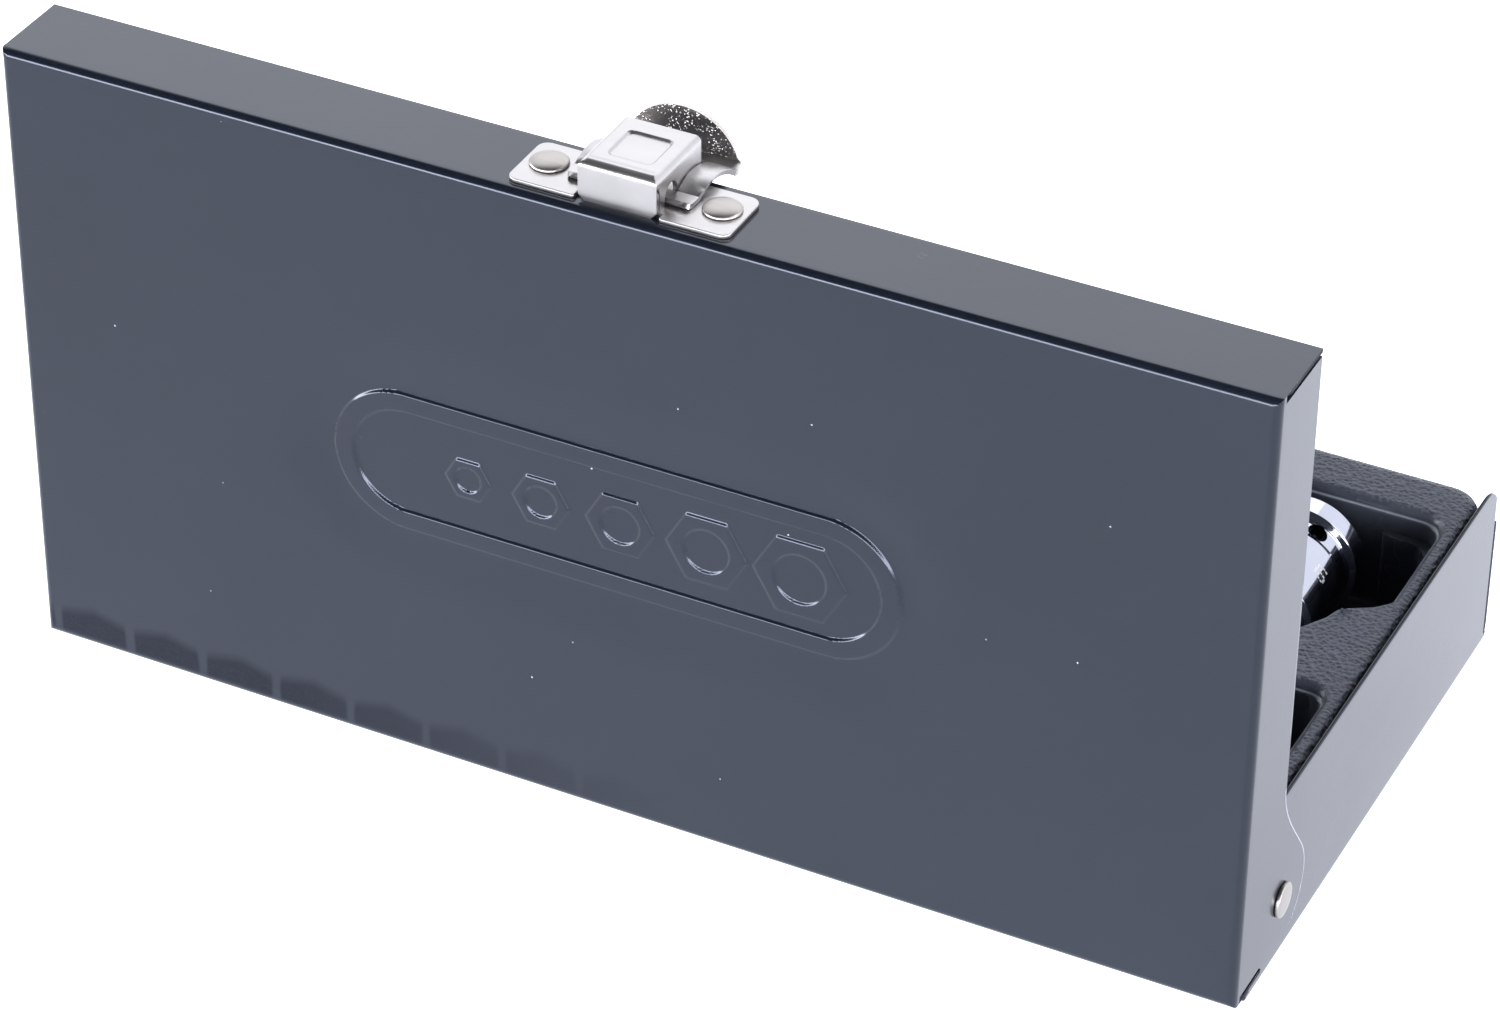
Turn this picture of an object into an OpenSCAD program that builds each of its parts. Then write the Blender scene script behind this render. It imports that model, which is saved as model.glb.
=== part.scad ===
// Socket wrench set in a folded sheet-steel case.
// Frame: origin at the centre of the case's underside, +Z up, hinge side +Y,
// latch side -Y, the case's length along X. The lid stands open at rest.

/* [Case] */
// Overall length of the lid along X
case_l = 250; // [246:0.5:260]
// Depth of the lid from hinge wall to latch wall
lid_d = 131; // [130:0.5:134]
// Height of the lid's side walls
lid_h = 18.5; // [17:0.5:20]
// Thickness of the sheet steel
sheet = 0.8; // [0.6:0.1:1]
// Length of the base along X
base_l = 245; // [243:0.5:246]
// Depth of the base along Y
base_d = 125; // [124:0.5:126]
// Height of the base's side walls
base_h = 39; // [38.5:0.25:39]
// Height of the base's latch wall
front_h = 29; // [26:1:30]
// Height of the base's hinge wall
rear_h = 35; // [32:1:36]
// Outer radius of the sheet's bends
bend_r = 1.6; // [1.2:0.2:2]

/* [Hinge] */
// Distance of the hinge axis in front of the base's hinge wall
pivot_in = 8; // [7.5:0.25:9]
// Height of the hinge axis above the underside
pivot_z = 20; // [19.5:0.25:20.5]
// Distance from the hinge axis to the lid panel's outer face
pivot_b = 20.5; // [20.25:0.25:21]
// Distance from the hinge axis to the lid hinge wall's outer face
pivot_a = 11; // [10.5:0.25:11.5]
// Radius of the rounded hinge ear
ear_r = 11.2; // [10:0.2:11.4]
// Radius of the hinge rivet's shank
hinge_pin_r = 2.0; // [1.8:0.1:2.2]
// Radial running clearance of the hinge
hinge_clear = 0.06; // [0.02:0.01:0.1]

/* [Latch] */
// Width of the latch's mounting plate
plate_w = 43.5; // [42:0.5:46]
// Outer width of the latch's hood
hood_w = 15.4; // [14.8:0.2:16]
// Height of the hood above the lid wall
hood_h = 8; // [7.4:0.2:8.4]
// Width of the latch's lever
lever_w = 24.4; // [23.6:0.2:25]
// Radius of the half-moon thumb tab
moon_r = 11.5; // [10.5:0.5:12]

/* [Tray] */
// Height of the tray's top face
tray_z = 38.4; // [38:0.1:38.4]
// Thickness of the tray's plastic sheet
tray_t = 1.2; // [1:0.1:1.4]
// Floor height of the socket pocket
row_z = 15.3; // [15:0.1:17]
// Floor height of the wrench pocket
bar_z = 12; // [11:0.5:12]

/* [Tools] */
// Width across flats of the square drive
drive_sq = 9.5; // [9.4:0.05:9.55]
// Length of the sockets
socket_l = 28; // [26:0.5:30]
// Number of teeth on the ratchet wheel
gear_n = 72; // [36:36:72]

/* [Hidden] */
$fn = 64;

py = base_d / 2 - pivot_in;      // hinge axis, y
ly = py + pivot_b;               // outer face of the open lid's panel
lz = pivot_z - pivot_a;          // lowest face of the open lid
lt = lz + lid_d;                 // top face of the open lid, its latch wall
lr = ly - lid_h;                 // rim of the open lid's walls
hx = case_l / 2;
bx = base_l / 2;
by = base_d / 2;
steel = [0.33, 0.35, 0.41];
nickel = [0.80, 0.79, 0.78];
chrome = [0.84, 0.85, 0.88];
plastic = [0.20, 0.21, 0.23];
grip_col = [0.10, 0.10, 0.11];

// Plate of thickness t with its outline in the Y-Z plane, starting at x.
module yz_plate(x, t) { translate([x, 0, 0]) rotate([90, 0, 90]) linear_extrude(t) children(); }
// Rectangle from (x0, y0) to (x1, y1) with four corner radii: a at (x0,y0), b at (x1,y0), c at (x1,y1), d at (x0,y1).
module rr(x0, y0, x1, y1, a, b, c, d) {
  difference() {
    translate([x0, y0]) square([x1 - x0, y1 - y0]);
    if (a > 0) corner(x0, y0, 1, 1, a);
    if (b > 0) corner(x1, y0, -1, 1, b);
    if (c > 0) corner(x1, y1, -1, -1, c);
    if (d > 0) corner(x0, y1, 1, -1, d);
  }
}
// What a fillet of radius r removes at a corner whose inside lies towards (sx, sy).
module corner(x, y, sx, sy, r) {
  difference() {
    translate([x + (sx > 0 ? -1 : -r), y + (sy > 0 ? -1 : -r)]) square([r + 1, r + 1]);
    translate([x + sx * r, y + sy * r]) circle(r);
  }
}
// A frame of sheet: width along X from -w to w, other extents y0..y1, z0..z1,
// bends of radius r along the edges of the face at y = y1.
module lid_block(w, y0, y1, z0, z1, r) {
  intersection() {
    yz_plate(-w, 2 * w) rr(y0, z0, y1, z1, 0, r, r, 0);
    translate([0, 0, z0]) linear_extrude(z1 - z0) rr(-w, y0, w, y1, 0, 0, r, r);
  }
}
// Base counterpart: bends along the edges of the face at z = z0.
module base_block(w, d, z0, z1, r) {
  intersection() {
    yz_plate(-w, 2 * w) rr(-d, z0, d, z1, r, r, 0, 0);
    translate([0, d, 0]) rotate([90, 0, 0]) linear_extrude(2 * d) rr(-w, z0, w, z1, r, r, 0, 0);
  }
}

// Outline of the lid's hinge ear in the Y-Z plane.
ear_up = 34;                     // where the ear's slanted edge leaves the rim, above the hinge wall
ear_dx = (py - lr);
ear_dz = lz + ear_up - pivot_z;
ear_len = sqrt(ear_dx * ear_dx + ear_dz * ear_dz);
ear_ang = atan2(ear_dz, lr - py) + acos(ear_r / ear_len);
module ear_outline() {
  circle_at(py, pivot_z, ear_r);
  polygon([[lr + 0.2, lz + ear_up], [py + ear_r * cos(ear_ang), pivot_z + ear_r * sin(ear_ang)],
           [py, pivot_z], [py, lz], [lr + 3, lz], [lr + 3, lz + ear_up]]);
}
module circle_at(x, y, r) { translate([x, y]) circle(r); }

module lid_walls() {
  difference() {
    lid_block(hx, lr, ly, lz, lt, bend_r);
    lid_block(hx - sheet, lr - 1, ly - sheet, lz + sheet, lt - sheet, bend_r - sheet);
    // the hinge wall is shallower than the others: its edge meets the base
    translate([-hx + sheet, lr - 1, lz - 1]) cube([case_l - 2 * sheet, by + 0.2 - lr + 1, 3]);
    // open seams of the folded corners
    for (s = [-1, 1]) {
      translate([s * (hx - sheet / 2) - sheet / 2 - 0.1, lr - 1, lt - sheet - 0.35]) cube([sheet + 0.2, lid_h - 2.4 + 1, 0.35]);
      translate([s * (hx - sheet / 2) - sheet / 2 - 0.1, by + 0.15, lz + sheet]) cube([sheet + 0.2, ly - 2.4 - by, 0.35]);
    }
  }
}
module lid_shell() {
  color(steel) {
    difference() {
      union() {
        lid_walls();
        for (s = [0, 1]) mirror([s, 0, 0]) yz_plate(hx - sheet, sheet) ear_outline();
      }
      for (s = [0, 1]) mirror([s, 0, 0]) {
        translate([hx - 2, py, pivot_z]) rotate([0, 90, 0]) cylinder(h = 4, r = hinge_pin_r + hinge_clear);
      }
      // rivet holes of the latch
      for (s = [-1, 1]) translate([s * 17, ly - 9.9, lt - 2]) cylinder(h = 4, r = 1.9);
      panel_emblem();
    }
  }
}
// Pressed emblem: a shallow long-oval recess with a raised row of graded hexagons in it.
emb_z = 75;
emb_d = 0.35;
module pressed(d) { translate([0, ly - d, emb_z]) rotate([-90, 0, 0]) linear_extrude(1) children(); }
module oval(l, h) { square([l - h, h], center = true); for (s = [-1, 1]) circle_at(s * (l - h) / 2, 0, h / 2); }
module panel_emblem() {
  pressed(emb_d) difference() {
    oval(115, 30);
    for (i = [0:4]) translate([-36 + 18.5 * i - 0.6 * i * i, 0]) difference() {
      circle(r = 10.4 - 1.3 * i, $fn = 6);
      circle(r = (10.4 - 1.3 * i) * 0.62);
    }
  }
}

module base_shell() {
  color(steel) difference() {
    base_block(bx, by, 0, base_h, bend_r);
    base_block(bx - sheet, by - sheet, sheet, base_h + 1, bend_r - sheet);
    // low latch wall, lower hinge wall
    translate([-bx + sheet, -by - 1, front_h]) cube([base_l - 2 * sheet, 4, base_h]);
    translate([-bx + sheet, by - 3, rear_h]) cube([base_l - 2 * sheet, 4, base_h]);
    // rounded top corners of the side walls
    yz_plate(-bx - 1, base_l + 2) { corner(-by, base_h, 1, -1, 8); corner(by, base_h, -1, -1, 5); }
    // open seams of the folded corners
    for (s = [-1, 1], t = [-1, 1])
      translate([s * (bx - sheet / 2) - sheet / 2 - 0.1, t * (by - sheet - 0.175) - 0.175, 2.4]) cube([sheet + 0.2, 0.35, base_h]);
    // hinge rivet holes
    for (s = [-1, 1]) translate([s * (bx - 0.4) - 2, py, pivot_z]) rotate([0, 90, 0]) cylinder(h = 4, r = hinge_pin_r);
    // strike rivet holes
    for (s = [-1, 1]) translate([s * 9, -by - 2, 8.8]) rotate([-90, 0, 0]) cylinder(h = 4, r = 1.5);
  }
}

module hinge_rivets() {
  color(nickel) for (s = [0, 1]) mirror([s, 0, 0]) translate([0, py, pivot_z]) rotate([0, 90, 0]) {
    rotate_extrude() polygon([[0, bx - sheet - 1], [2.6, bx - sheet - 1], [3, bx - sheet - 0.6], [3, bx - sheet],
      [hinge_pin_r, bx - sheet], [hinge_pin_r, bx], [3.4, bx], [3.4, hx - sheet - 0.06], [hinge_pin_r, hx - sheet - 0.06],
      [hinge_pin_r, hx + 0.06], [3.45, hx + 0.06], [3.45, hx + 0.5], [3.1, hx + 0.9], [2.5, hx + 1.05], [0, hx + 1.1]]);
  }
}

// The latch is described by r, the distance from the lid panel's outer face
// towards the rim, and q, the height above the latch wall.
module latch_frame() { translate([0, ly, lt]) rotate([0, 0, 0]) mirror([0, 1, 0]) children(); }
module latch_plate() {
  color(nickel) latch_frame() difference() {
    linear_extrude(0.9) difference() {
      rr(-plate_w / 2, 2.4, plate_w / 2, 16.2, 1.4, 1.4, 1.4, 1.4);
      translate([-8.3, 0]) square([16.6, 4.4]);
      for (s = [-1, 1]) circle_at(s * 17, 9.9, 1.9);
    }
  }
}
module latch_rivets() {
  color(nickel) latch_frame() for (s = [-1, 1]) translate([s * 17, 9.9, 0])
    rotate_extrude() polygon([[0, -1.6], [2.6, -1.6], [2.9, -1.3], [2.9, -0.8], [1.9, -0.8], [1.9, 0.9],
      [3.6, 0.9], [3.6, 1.2], [3.2, 1.75], [2.4, 2.1], [1.2, 2.3], [0, 2.35]]);
}
// Hood: front wall, top with a pressed-in rounded square, side walls notched for the lever.
module latch_hood() {
  w = hood_w / 2;
  color(nickel) latch_frame() {
    difference() {
      union() {
        intersection() {
          yz_plate(-w, hood_w) rr(3.0, 0.1, 20, hood_h, 0, 0, 0.8, 1.4);
          translate([0, 3.0, 0]) rotate([-90, 0, 0]) linear_extrude(20) mirror([0, 1]) rr(-w, 0.1, w, hood_h, 1.2, 1.2, 1.2, 1.2);
        }
      }
      // hollow inside, open towards the lid wall and the rim
      intersection() {
        translate([-w + 0.9, 3.9, -1]) cube([hood_w - 1.8, 20, hood_h - 0.9 + 1]);
      }
      // side walls stop above the plate and are notched round the lever's strip
      translate([-w - 1, 4.4, -1]) cube([hood_w + 2, 20, 2.05]);
      yz_plate(-w - 1, hood_w + 2) rr(6.1, -1, 10.9, 4.9, 0, 0, 2.2, 2.2);
      // pressed-in rounded square on top
      translate([0, 11.9, hood_h - 0.3]) linear_extrude(1) rr(-4.3, -4.3, 4.3, 4.3, 1, 1, 1, 1);
    }
  }
}
// Lever: strip that turns under the hood, two arms over the rim, cross bar and half-moon tab.
lev_r = 7.2;                     // turning axis of the lever, r
lev_q = 1.9;                     // and q
moon_q = -3.9;                   // centre of the half moon, q
// Arched arms: height of their underside at distance r, and its slope.
function arch_q(r) = 2.35 - (r < 15.6 ? 0.051 : 0.045) * pow(r - 15.6, 2);
function arch_s(r) = -2 * (r < 15.6 ? 0.051 : 0.045) * (r - 15.6);
module lever_profile() {
  // flat strip, arched arms, cross bar below the rim, tab turned up
  polygon(concat([[7.3, 1.45], [8.6, 1.0], [9.6, 1.0]],
    [for (i = [0:8]) let (r = 10.4 + 1.7 * i) [r, arch_q(r)]],
    [[25.3, -1.7], [28.0, -1.7], [28.6, -1.4], [28.8, -0.9], [28.8, 8.4], [27.9, 8.4], [27.9, -0.3], [27.6, -0.75], [25.75, -0.75]],
    [for (i = [8:-1:0]) let (r = 10.4 + 1.7 * i, k = 0.95 / sqrt(1 + arch_s(r) * arch_s(r))) [r - k * arch_s(r), arch_q(r) + k]],
    [[9.4, 2.0], [8.4, 2.0], [7.3, 2.35]]));
}
module latch_lever() {
  color(nickel) latch_frame() {
    difference() {
      union() {
        yz_plate(-lever_w / 2, lever_w) lever_profile();
        // rolled edge that the lever turns on
        yz_plate(-lever_w / 2, lever_w) circle_at(lev_r, lev_q, 0.75);
      }
      // window that the hood and the strike reach through
      translate([-8, 10.5, -4]) cube([16, 14.7, 8]);
      // the arms stand clear of the hood; the strip keeps its full width
      for (s = [-1, 1]) translate([s * 14.2 - 2, 13.5, -6]) cube([4, 12.5, 12]);
      // half-moon outline of the tab
      difference() {
        translate([-20, 27.0, -0.6]) cube([40, 4, 14]);
        translate([0, 26, moon_q]) rotate([-90, 0, 0]) cylinder(h = 6, r = moon_r, $fn = 96);
      }
      for (s = [-1, 1]) translate([s * 16 - 4.6, 25.0, -6]) cube([9.2, 6, 5.4]);
    }
  }
}
// Leaf spring that presses the lever's strip onto the plate.
module latch_spring() {
  color(nickel) latch_frame() yz_plate(-4.5, 9)
    polygon([[4.6, 7.0], [16.5, 7.0], [16.5, 6.6], [6.0, 6.6], [8.7, 3.5], [9.0, 3.1], [8.7, 3.0], [8.3, 3.2], [4.6, 6.6]]);
}
module strike_plate() {
  color(nickel) translate([0, -by, 0]) {
    difference() {
      translate([0, 0, 0]) rotate([90, 0, 0]) linear_extrude(0.9) rr(-13, 5, 13, 16.8, 2, 2, 2, 2);
      for (s = [-1, 1]) translate([s * 9, -2, 8.8]) rotate([-90, 0, 0]) cylinder(h = 4, r = 1.5);
    }
    yz_plate(-6, 12) polygon([[-0.8, 16.8], [-3.3, 16.8], [-3.8, 16.3], [-3.8, 13.0], [-3.0, 12.9], [-3.0, 15.7], [-2.8, 15.9], [-0.8, 15.9]]);
  }
}
module strike_rivets() {
  color(nickel) for (s = [-1, 1]) translate([s * 9, -by, 8.8]) rotate([90, 0, 0])
    rotate_extrude() polygon([[0, -1.7], [2.2, -1.7], [2.4, -1.5], [2.4, -0.8], [1.5, -0.8], [1.5, 0.9], [2.4, 0.9], [2.4, 1.1], [2.0, 1.5], [1.1, 1.75], [0, 1.8]]);
}

// Tray --------------------------------------------------------------
tx = 119.8;
tf = bx - sheet - 0.3;            // the rim reaches out to the side walls above the hinge rivets
ty0 = -59.6;
ty1 = 60.2;
module row_pocket(e) { // socket pocket with its finger bay at the -X end
  polygon([[-117.3 - e, -41.2], [-117.3 - e, -16.2], [-114.9 - 0.4 * e, -13.9 + e], [-112.7, -12.3 + e], [-109.4 - 0.5 * e, -10.4 + e],
           [-108.3 - e, -7.6 + 0.5 * e], [-107.0 - e, -4.9 + 0.4 * e], [-105.0 - e, -1.9 + 0.4 * e], [-102.4 - e, 1.6 + e],
           [116 + e, 1.6 + e], [116 + e, -41.4], [112.4, -45 - e], [-113.4, -45 - e]]);
}
module bar_pocket(e) { // wrench and extension pocket
  rr(-117 - e, 15.8 - e, 116 + e, 56.6 + e, 3, 3, 3, 3);
  rr(36 - e, 6.6 - e, 72 + e, 20, 3, 3, 0, 0);
}
module tray_block(e, zt) {
  intersection() {
    yz_plate(-tf + e, 2 * (tf - e)) polygon([[ty0 + e, 0.8], [ty1 - e, 0.8], [ty1 - e, zt - 1.0], [ty1 - e - 1, zt],
      [-55.2 + e, zt], [-57.0 + e, zt - 0.9], [-58.2 + e, zt - 3.0], [-59.2 + e, 22], [ty0 + e, 19]]);
    union() {
      linear_extrude(60) rr(-tx + e, ty0 + e, tx - e, ty1 - e, 6 - e, 6 - e, 5 - e, 5 - e);
      translate([0, 0, 29 + e]) linear_extrude(30) rr(-tf + e, ty0 + e, tf - e, ty1 - e, 7 - e, 7 - e, 5 - e, 5 - e);
    }
  }
}
gx0 = 99; gy0 = 41.5;            // ratchet wheel's axis
module tool_tray() {
  color(plastic) difference() {
    union() {
      difference() {
        tray_block(0, tray_z);
        translate([0, 0, -0.01]) tray_block(tray_t, tray_z - tray_t);
      }
      intersection() {
        tray_block(0.2, tray_z - 0.1);
        union() {
          translate([0, 0, row_z - tray_t]) linear_extrude(tray_z) row_pocket(tray_t);
          translate([0, 0, bar_z - tray_t]) linear_extrude(tray_z) bar_pocket(tray_t);
          translate([gx0, gy0, 0.8]) cylinder(h = 14, r = 9 + tray_t);
        }
      }
    }
    translate([0, 0, row_z]) linear_extrude(tray_z) row_pocket(0);
    translate([0, 0, bar_z]) linear_extrude(tray_z) bar_pocket(0);
    translate([gx0, gy0, 2.2]) cylinder(h = 14, r = 9);
  }
  color(plastic) for (i = [0:9]) // low ribs between neighbouring sockets
    translate([0, -30, row_z]) rotate([-90, 0, 0]) mirror([0, 1, 0])
      linear_extrude(16) translate([sock_x(i) + sock_r(i) + 0.75, 0]) polygon([[-2.0, -0.3], [2.0, -0.3], [0.5, 3.0], [-0.5, 3.0]]);
}

// Sockets -----------------------------------------------------------
// size, radius of the drive end, radius of the hexagon end, turn about its own axis
SOCK = [[16, 12.0, 11.1, 25], [15, 10.5, 10.4, 0], [14, 10.0, 9.8, 20], [13, 9.4, 9.2, -15], [12, 8.8, 8.7, 8],
        [11, 8.5, 8.1, 30], [10, 8.5, 7.5, -25], [9, 8.5, 6.9, 12], [8, 8.5, 6.2, -8], [7, 8.5, 5.6, 25], [6, 8.5, 5.0, 0]];
function sock_r(i) = max(SOCK[i][1], SOCK[i][2]);
function sock_x(i) = i == 0 ? -92.0 : sock_x(i - 1) + sock_r(i - 1) + sock_r(i) + 1.5;
sock_y = -41.0;
module socket_tool(i) {
  af = SOCK[i][0]; rd = SOCK[i][1]; rh = SOCK[i][2]; L = socket_l;
  hd = 9 + af * 0.15;
  color(chrome) translate([sock_x(i), sock_y, row_z + sock_r(i) + 0.05]) rotate([-90, 0, 0]) rotate([0, 0, SOCK[i][3]]) difference() {
    rotate_extrude() polygon([[0, 0], [rd - 2.2, 0], [rd - 1.9, 0.15], [rd - 0.15, 1.5], [rd, 2.0], [rd, 6.1], [rd - 0.2, 6.4], [rd - 1.2, 6.8], [rd - 1.4, 7.3],
      [rd - 1.4, 10.7], [rd - 1.2, 11.2], [min(rd, rh) - 0.2, 11.7], [min(rd, rh), 12.1], [rh, 15.5], [rh, L - 1.0], [rh - 0.9, L], [0, L]]);
    translate([-drive_sq / 2 - 0.05, -drive_sq / 2 - 0.05, -1]) cube([drive_sq + 0.1, drive_sq + 0.1, 12.5]);
    translate([0, 0, -0.01]) rotate_extrude() polygon([[0, -1], [7.1, -1], [7.1, 0.01], [6.2, 0.9], [0, 0.9]]);
    translate([0, 0, L - hd]) cylinder(h = hd + 1, r = af / 2 / cos(30), $fn = 6);
    translate([0, 0, L - 0.9]) cylinder(h = 0.91, r1 = af / 2 / cos(30) - 0.3, r2 = min(af / 2 / cos(30) + 0.5, rh - 1.3));
    cylinder(h = L, r = min(af * 0.42, 4.2));
    translate([0, 0, 9.0]) rotate([90, 0, 0]) cylinder(h = 15, r = 2.1);
  }
}
module socket_16mm() { socket_tool(0); }
module socket_15mm() { socket_tool(1); }
module socket_14mm() { socket_tool(2); }
module socket_13mm() { socket_tool(3); }
module socket_12mm() { socket_tool(4); }
module socket_11mm() { socket_tool(5); }
module socket_10mm() { socket_tool(6); }
module socket_9mm() { socket_tool(7); }
module socket_8mm() { socket_tool(8); }
module socket_7mm() { socket_tool(9); }
module socket_6mm() { socket_tool(10); }

// Ratchet -----------------------------------------------------------
rz = bar_z + 8.5;                // axis height of the handle
hz0 = rz - 6.5;                  // underside of the head
hz1 = rz + 5.0;                  // top of the head, under its cover
pvx = gx0 - 13.5;                // pawl pivot
neck_x = 84.5; neck_r = 9.4; head_r = 14.3;
tan_a = 180 - acos((head_r - neck_r) / (gx0 - neck_x));   // where the two arcs' common tangent leaves them
module head_outline(e) { // pear shape: a large arc round the wheel, a small one round the pawl
  polygon(concat(
    [for (i = [0:36]) let (a = -tan_a + 2 * tan_a * i / 36) [gx0 + (head_r - e) * cos(a), gy0 + (head_r - e) * sin(a)]],
    [for (i = [0:20]) let (a = tan_a + (360 - 2 * tan_a) * i / 20) [neck_x + (neck_r - e) * cos(a), gy0 + (neck_r - e) * sin(a)]]));
}
module ratchet_body() {
  color(chrome) difference() {
    union() {
      translate([0, 0, hz0]) linear_extrude(hz1 - hz0) head_outline(0);
      translate([0, gy0, rz]) rotate([0, 90, 0]) rotate_extrude()
        polygon([[0, -70], [4.2, -70], [5, -69], [5, 18.5], [6.6, 19.2], [6.8, 24], [6.0, 26], [5.4, 34], [5.0, 60], [5.0, 80], [0, 80]]);
    }
    translate([gx0, gy0, hz0 + 2]) cylinder(h = 30, r = 9.4);
    translate([gx0, gy0, hz0 - 1]) cylinder(h = 30, r = 6.8);
    translate([0, 0, hz0 + 2]) linear_extrude(30) polygon([[pvx - 3.8, gy0 - 4.2], [pvx + 1.5, gy0 - 8.0], [pvx + 8, gy0 - 8.0],
      [pvx + 8, gy0 + 8.0], [pvx + 1.5, gy0 + 8.0], [pvx - 3.8, gy0 + 4.2]]);
    for (s = [-1, 1]) translate([gx0 + 4, gy0 + s * 11.4, hz1 - 4]) cylinder(h = 6, r = 1.1);
  }
}
module ratchet_cover() {
  color(chrome) difference() {
    translate([0, 0, hz1]) linear_extrude(1.4) head_outline(0.5);
    translate([pvx, gy0, 0]) cylinder(h = 60, r = 2.45);
    for (s = [-1, 1]) translate([gx0 + 4, gy0 + s * 11.4, 0]) cylinder(h = 60, r = 1.1);
  }
}
module cover_screw() {
  difference() {
    rotate_extrude() polygon([[0, -3.5], [1.1, -3.5], [1.1, 1.4], [1.9, 1.4], [1.9, 1.8], [1.5, 2.1], [0, 2.1]]);
    translate([-2, -0.25, 1.6]) cube([4, 0.5, 1]);
  }
}
module cover_screws() {
  color(nickel) for (s = [-1, 1]) translate([gx0 + 4, gy0 + s * 11.4, hz1]) rotate([0, 0, 25 * s]) cover_screw();
}
gear_r = 9.0;                    // tip radius of the wheel's teeth
gear_d = 0.45;                   // depth of the teeth
module ratchet_gear() {
  color(chrome) difference() {
    union() {
      translate([gx0, gy0, hz0 + 2.3]) linear_extrude(8)
        polygon([for (i = [0:gear_n - 1]) each [[gear_r * cos((i + 0.5) * 360 / gear_n), gear_r * sin((i + 0.5) * 360 / gear_n)],
                                                [(gear_r - gear_d) * cos((i + 1) * 360 / gear_n), (gear_r - gear_d) * sin((i + 1) * 360 / gear_n)]]]);
      translate([gx0, gy0, hz0 - 0.6]) cylinder(h = 4, r = 6.74);
      translate([gx0 - drive_sq / 2, gy0 - drive_sq / 2, hz0 - 11]) cube([drive_sq, drive_sq, 12]);
    }
    translate([gx0 - drive_sq / 2 - 1, gy0, hz0 - 5.5]) rotate([0, 90, 0]) cylinder(h = 5, r = 1.65);
    difference() { // bevelled end of the square
      translate([gx0 - 8, gy0 - 8, hz0 - 11.5]) cube([16, 16, 1.9]);
      translate([gx0, gy0, hz0 - 11.5]) rotate([0, 0, 0]) rotate_extrude() polygon([[0, 0], [5.6, 0], [7.5, 1.9], [0, 1.9]]);
    }
  }
}
module drive_ball() { color(nickel) translate([gx0 - drive_sq / 2 + 1.0, gy0, hz0 - 5.5]) sphere(r = 1.6, $fn = 32); }
// Pawl: rocks on the reversing lever's shaft, one of its two ends in the teeth.
pawl_turn = 16;                  // turn of the pawl from one direction to the other
function on_wheel(a, r) = [gx0 - pvx + r * cos(a), r * sin(a)];   // point seen from the wheel's axis
function turned(p, a) = [p[0] * cos(a) - p[1] * sin(a), p[0] * sin(a) + p[1] * cos(a)];
pawl_end = [on_wheel(162, 9.7), on_wheel(148.5, 9.3), on_wheel(146.6, 9.15), on_wheel(145, 8.78), on_wheel(143.4, 9.15),
            on_wheel(141.5, 9.3), [5.6, 6.2], [4.9, 6.3], [2.2, 4.9], [-0.6, 3.75]];
module ratchet_pawl() {
  color(nickel) translate([pvx, gy0, hz0 + 2.6]) difference() {
    linear_extrude(7.2) polygon(concat([[3.5, 0.4]], pawl_end,
      [for (i = [0:10]) [3.7 * cos(108 + i * 12.5), 3.7 * sin(108 + i * 12.5)]],
      [for (i = [9:-1:0]) turned([pawl_end[i][0], -pawl_end[i][1]], -pawl_turn)]));
    translate([0, 0, -1]) cylinder(h = 10, r = 2.45);
  }
}
module reversing_lever() {
  color(chrome) translate([pvx, gy0, 0]) {
    translate([0, 0, hz0 + 2.2]) cylinder(h = hz1 + 1.8 - hz0 - 2.2, r = 2.4);
    translate([0, 0, hz1 + 1.6]) linear_extrude(2.6) {
      circle(5.6);
      rotate(160) polygon([[0, -3.4], [7, -2.6], [9, -1.6], [9.6, 0], [9, 1.6], [7, 2.6], [0, 3.4]]);
    }
  }
}
module handle_grip() {
  color(grip_col) translate([0, gy0, rz]) rotate([0, 90, 0]) difference() {
    rotate_extrude() polygon([[0, -73], [5, -73], [7, -72], [8, -69.5], [8, -66], [7.6, -64], [7.6, 4], [8.3, 8], [8.45, 12], [8.2, 16], [7, 18.5], [0, 18.5]]);
    translate([0, 0, -70]) cylinder(h = 100, r = 5);
  }
}

// Extension ---------------------------------------------------------
ex_y = 24.4; ex_x0 = -114.5;
module extension_bar() {
  color(chrome) translate([ex_x0, ex_y, bar_z + 8.3]) rotate([0, 90, 0]) difference() {
    union() {
      rotate_extrude() polygon([[0, 0], [7.4, 0], [8.3, 1], [8.3, 15], [7.9, 17], [5.6, 21], [5.0, 23], [5.0, 106], [6.4, 108.5], [6.7, 109.5], [6.7, 112.6], [6.2, 113.2], [0, 113.2]]);
      translate([-drive_sq / 2, -drive_sq / 2, 110]) cube([drive_sq, drive_sq, 14]);
    }
    translate([-drive_sq / 2 - 0.05, -drive_sq / 2 - 0.05, -1]) cube([drive_sq + 0.1, drive_sq + 0.1, 12.5]);
    translate([0, -drive_sq / 2 + 4, 118.5]) rotate([90, 0, 0]) cylinder(h = 5, r = 1.65);
    translate([0, 0, 5.5]) rotate([90, 0, 0]) cylinder(h = 15, r = 1.8);
    difference() {
      translate([-8, -8, 122.2]) cube([16, 16, 4]);
      rotate_extrude() polygon([[0, 122.1], [7.5, 122.1], [5.6, 124], [5.6, 127], [0, 127]]);
    }
  }
}
module extension_ball() { color(nickel) translate([ex_x0 + 118.5, ex_y - drive_sq / 2 + 1.0, bar_z + 8.3]) sphere(r = 1.6, $fn = 32); }

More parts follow.
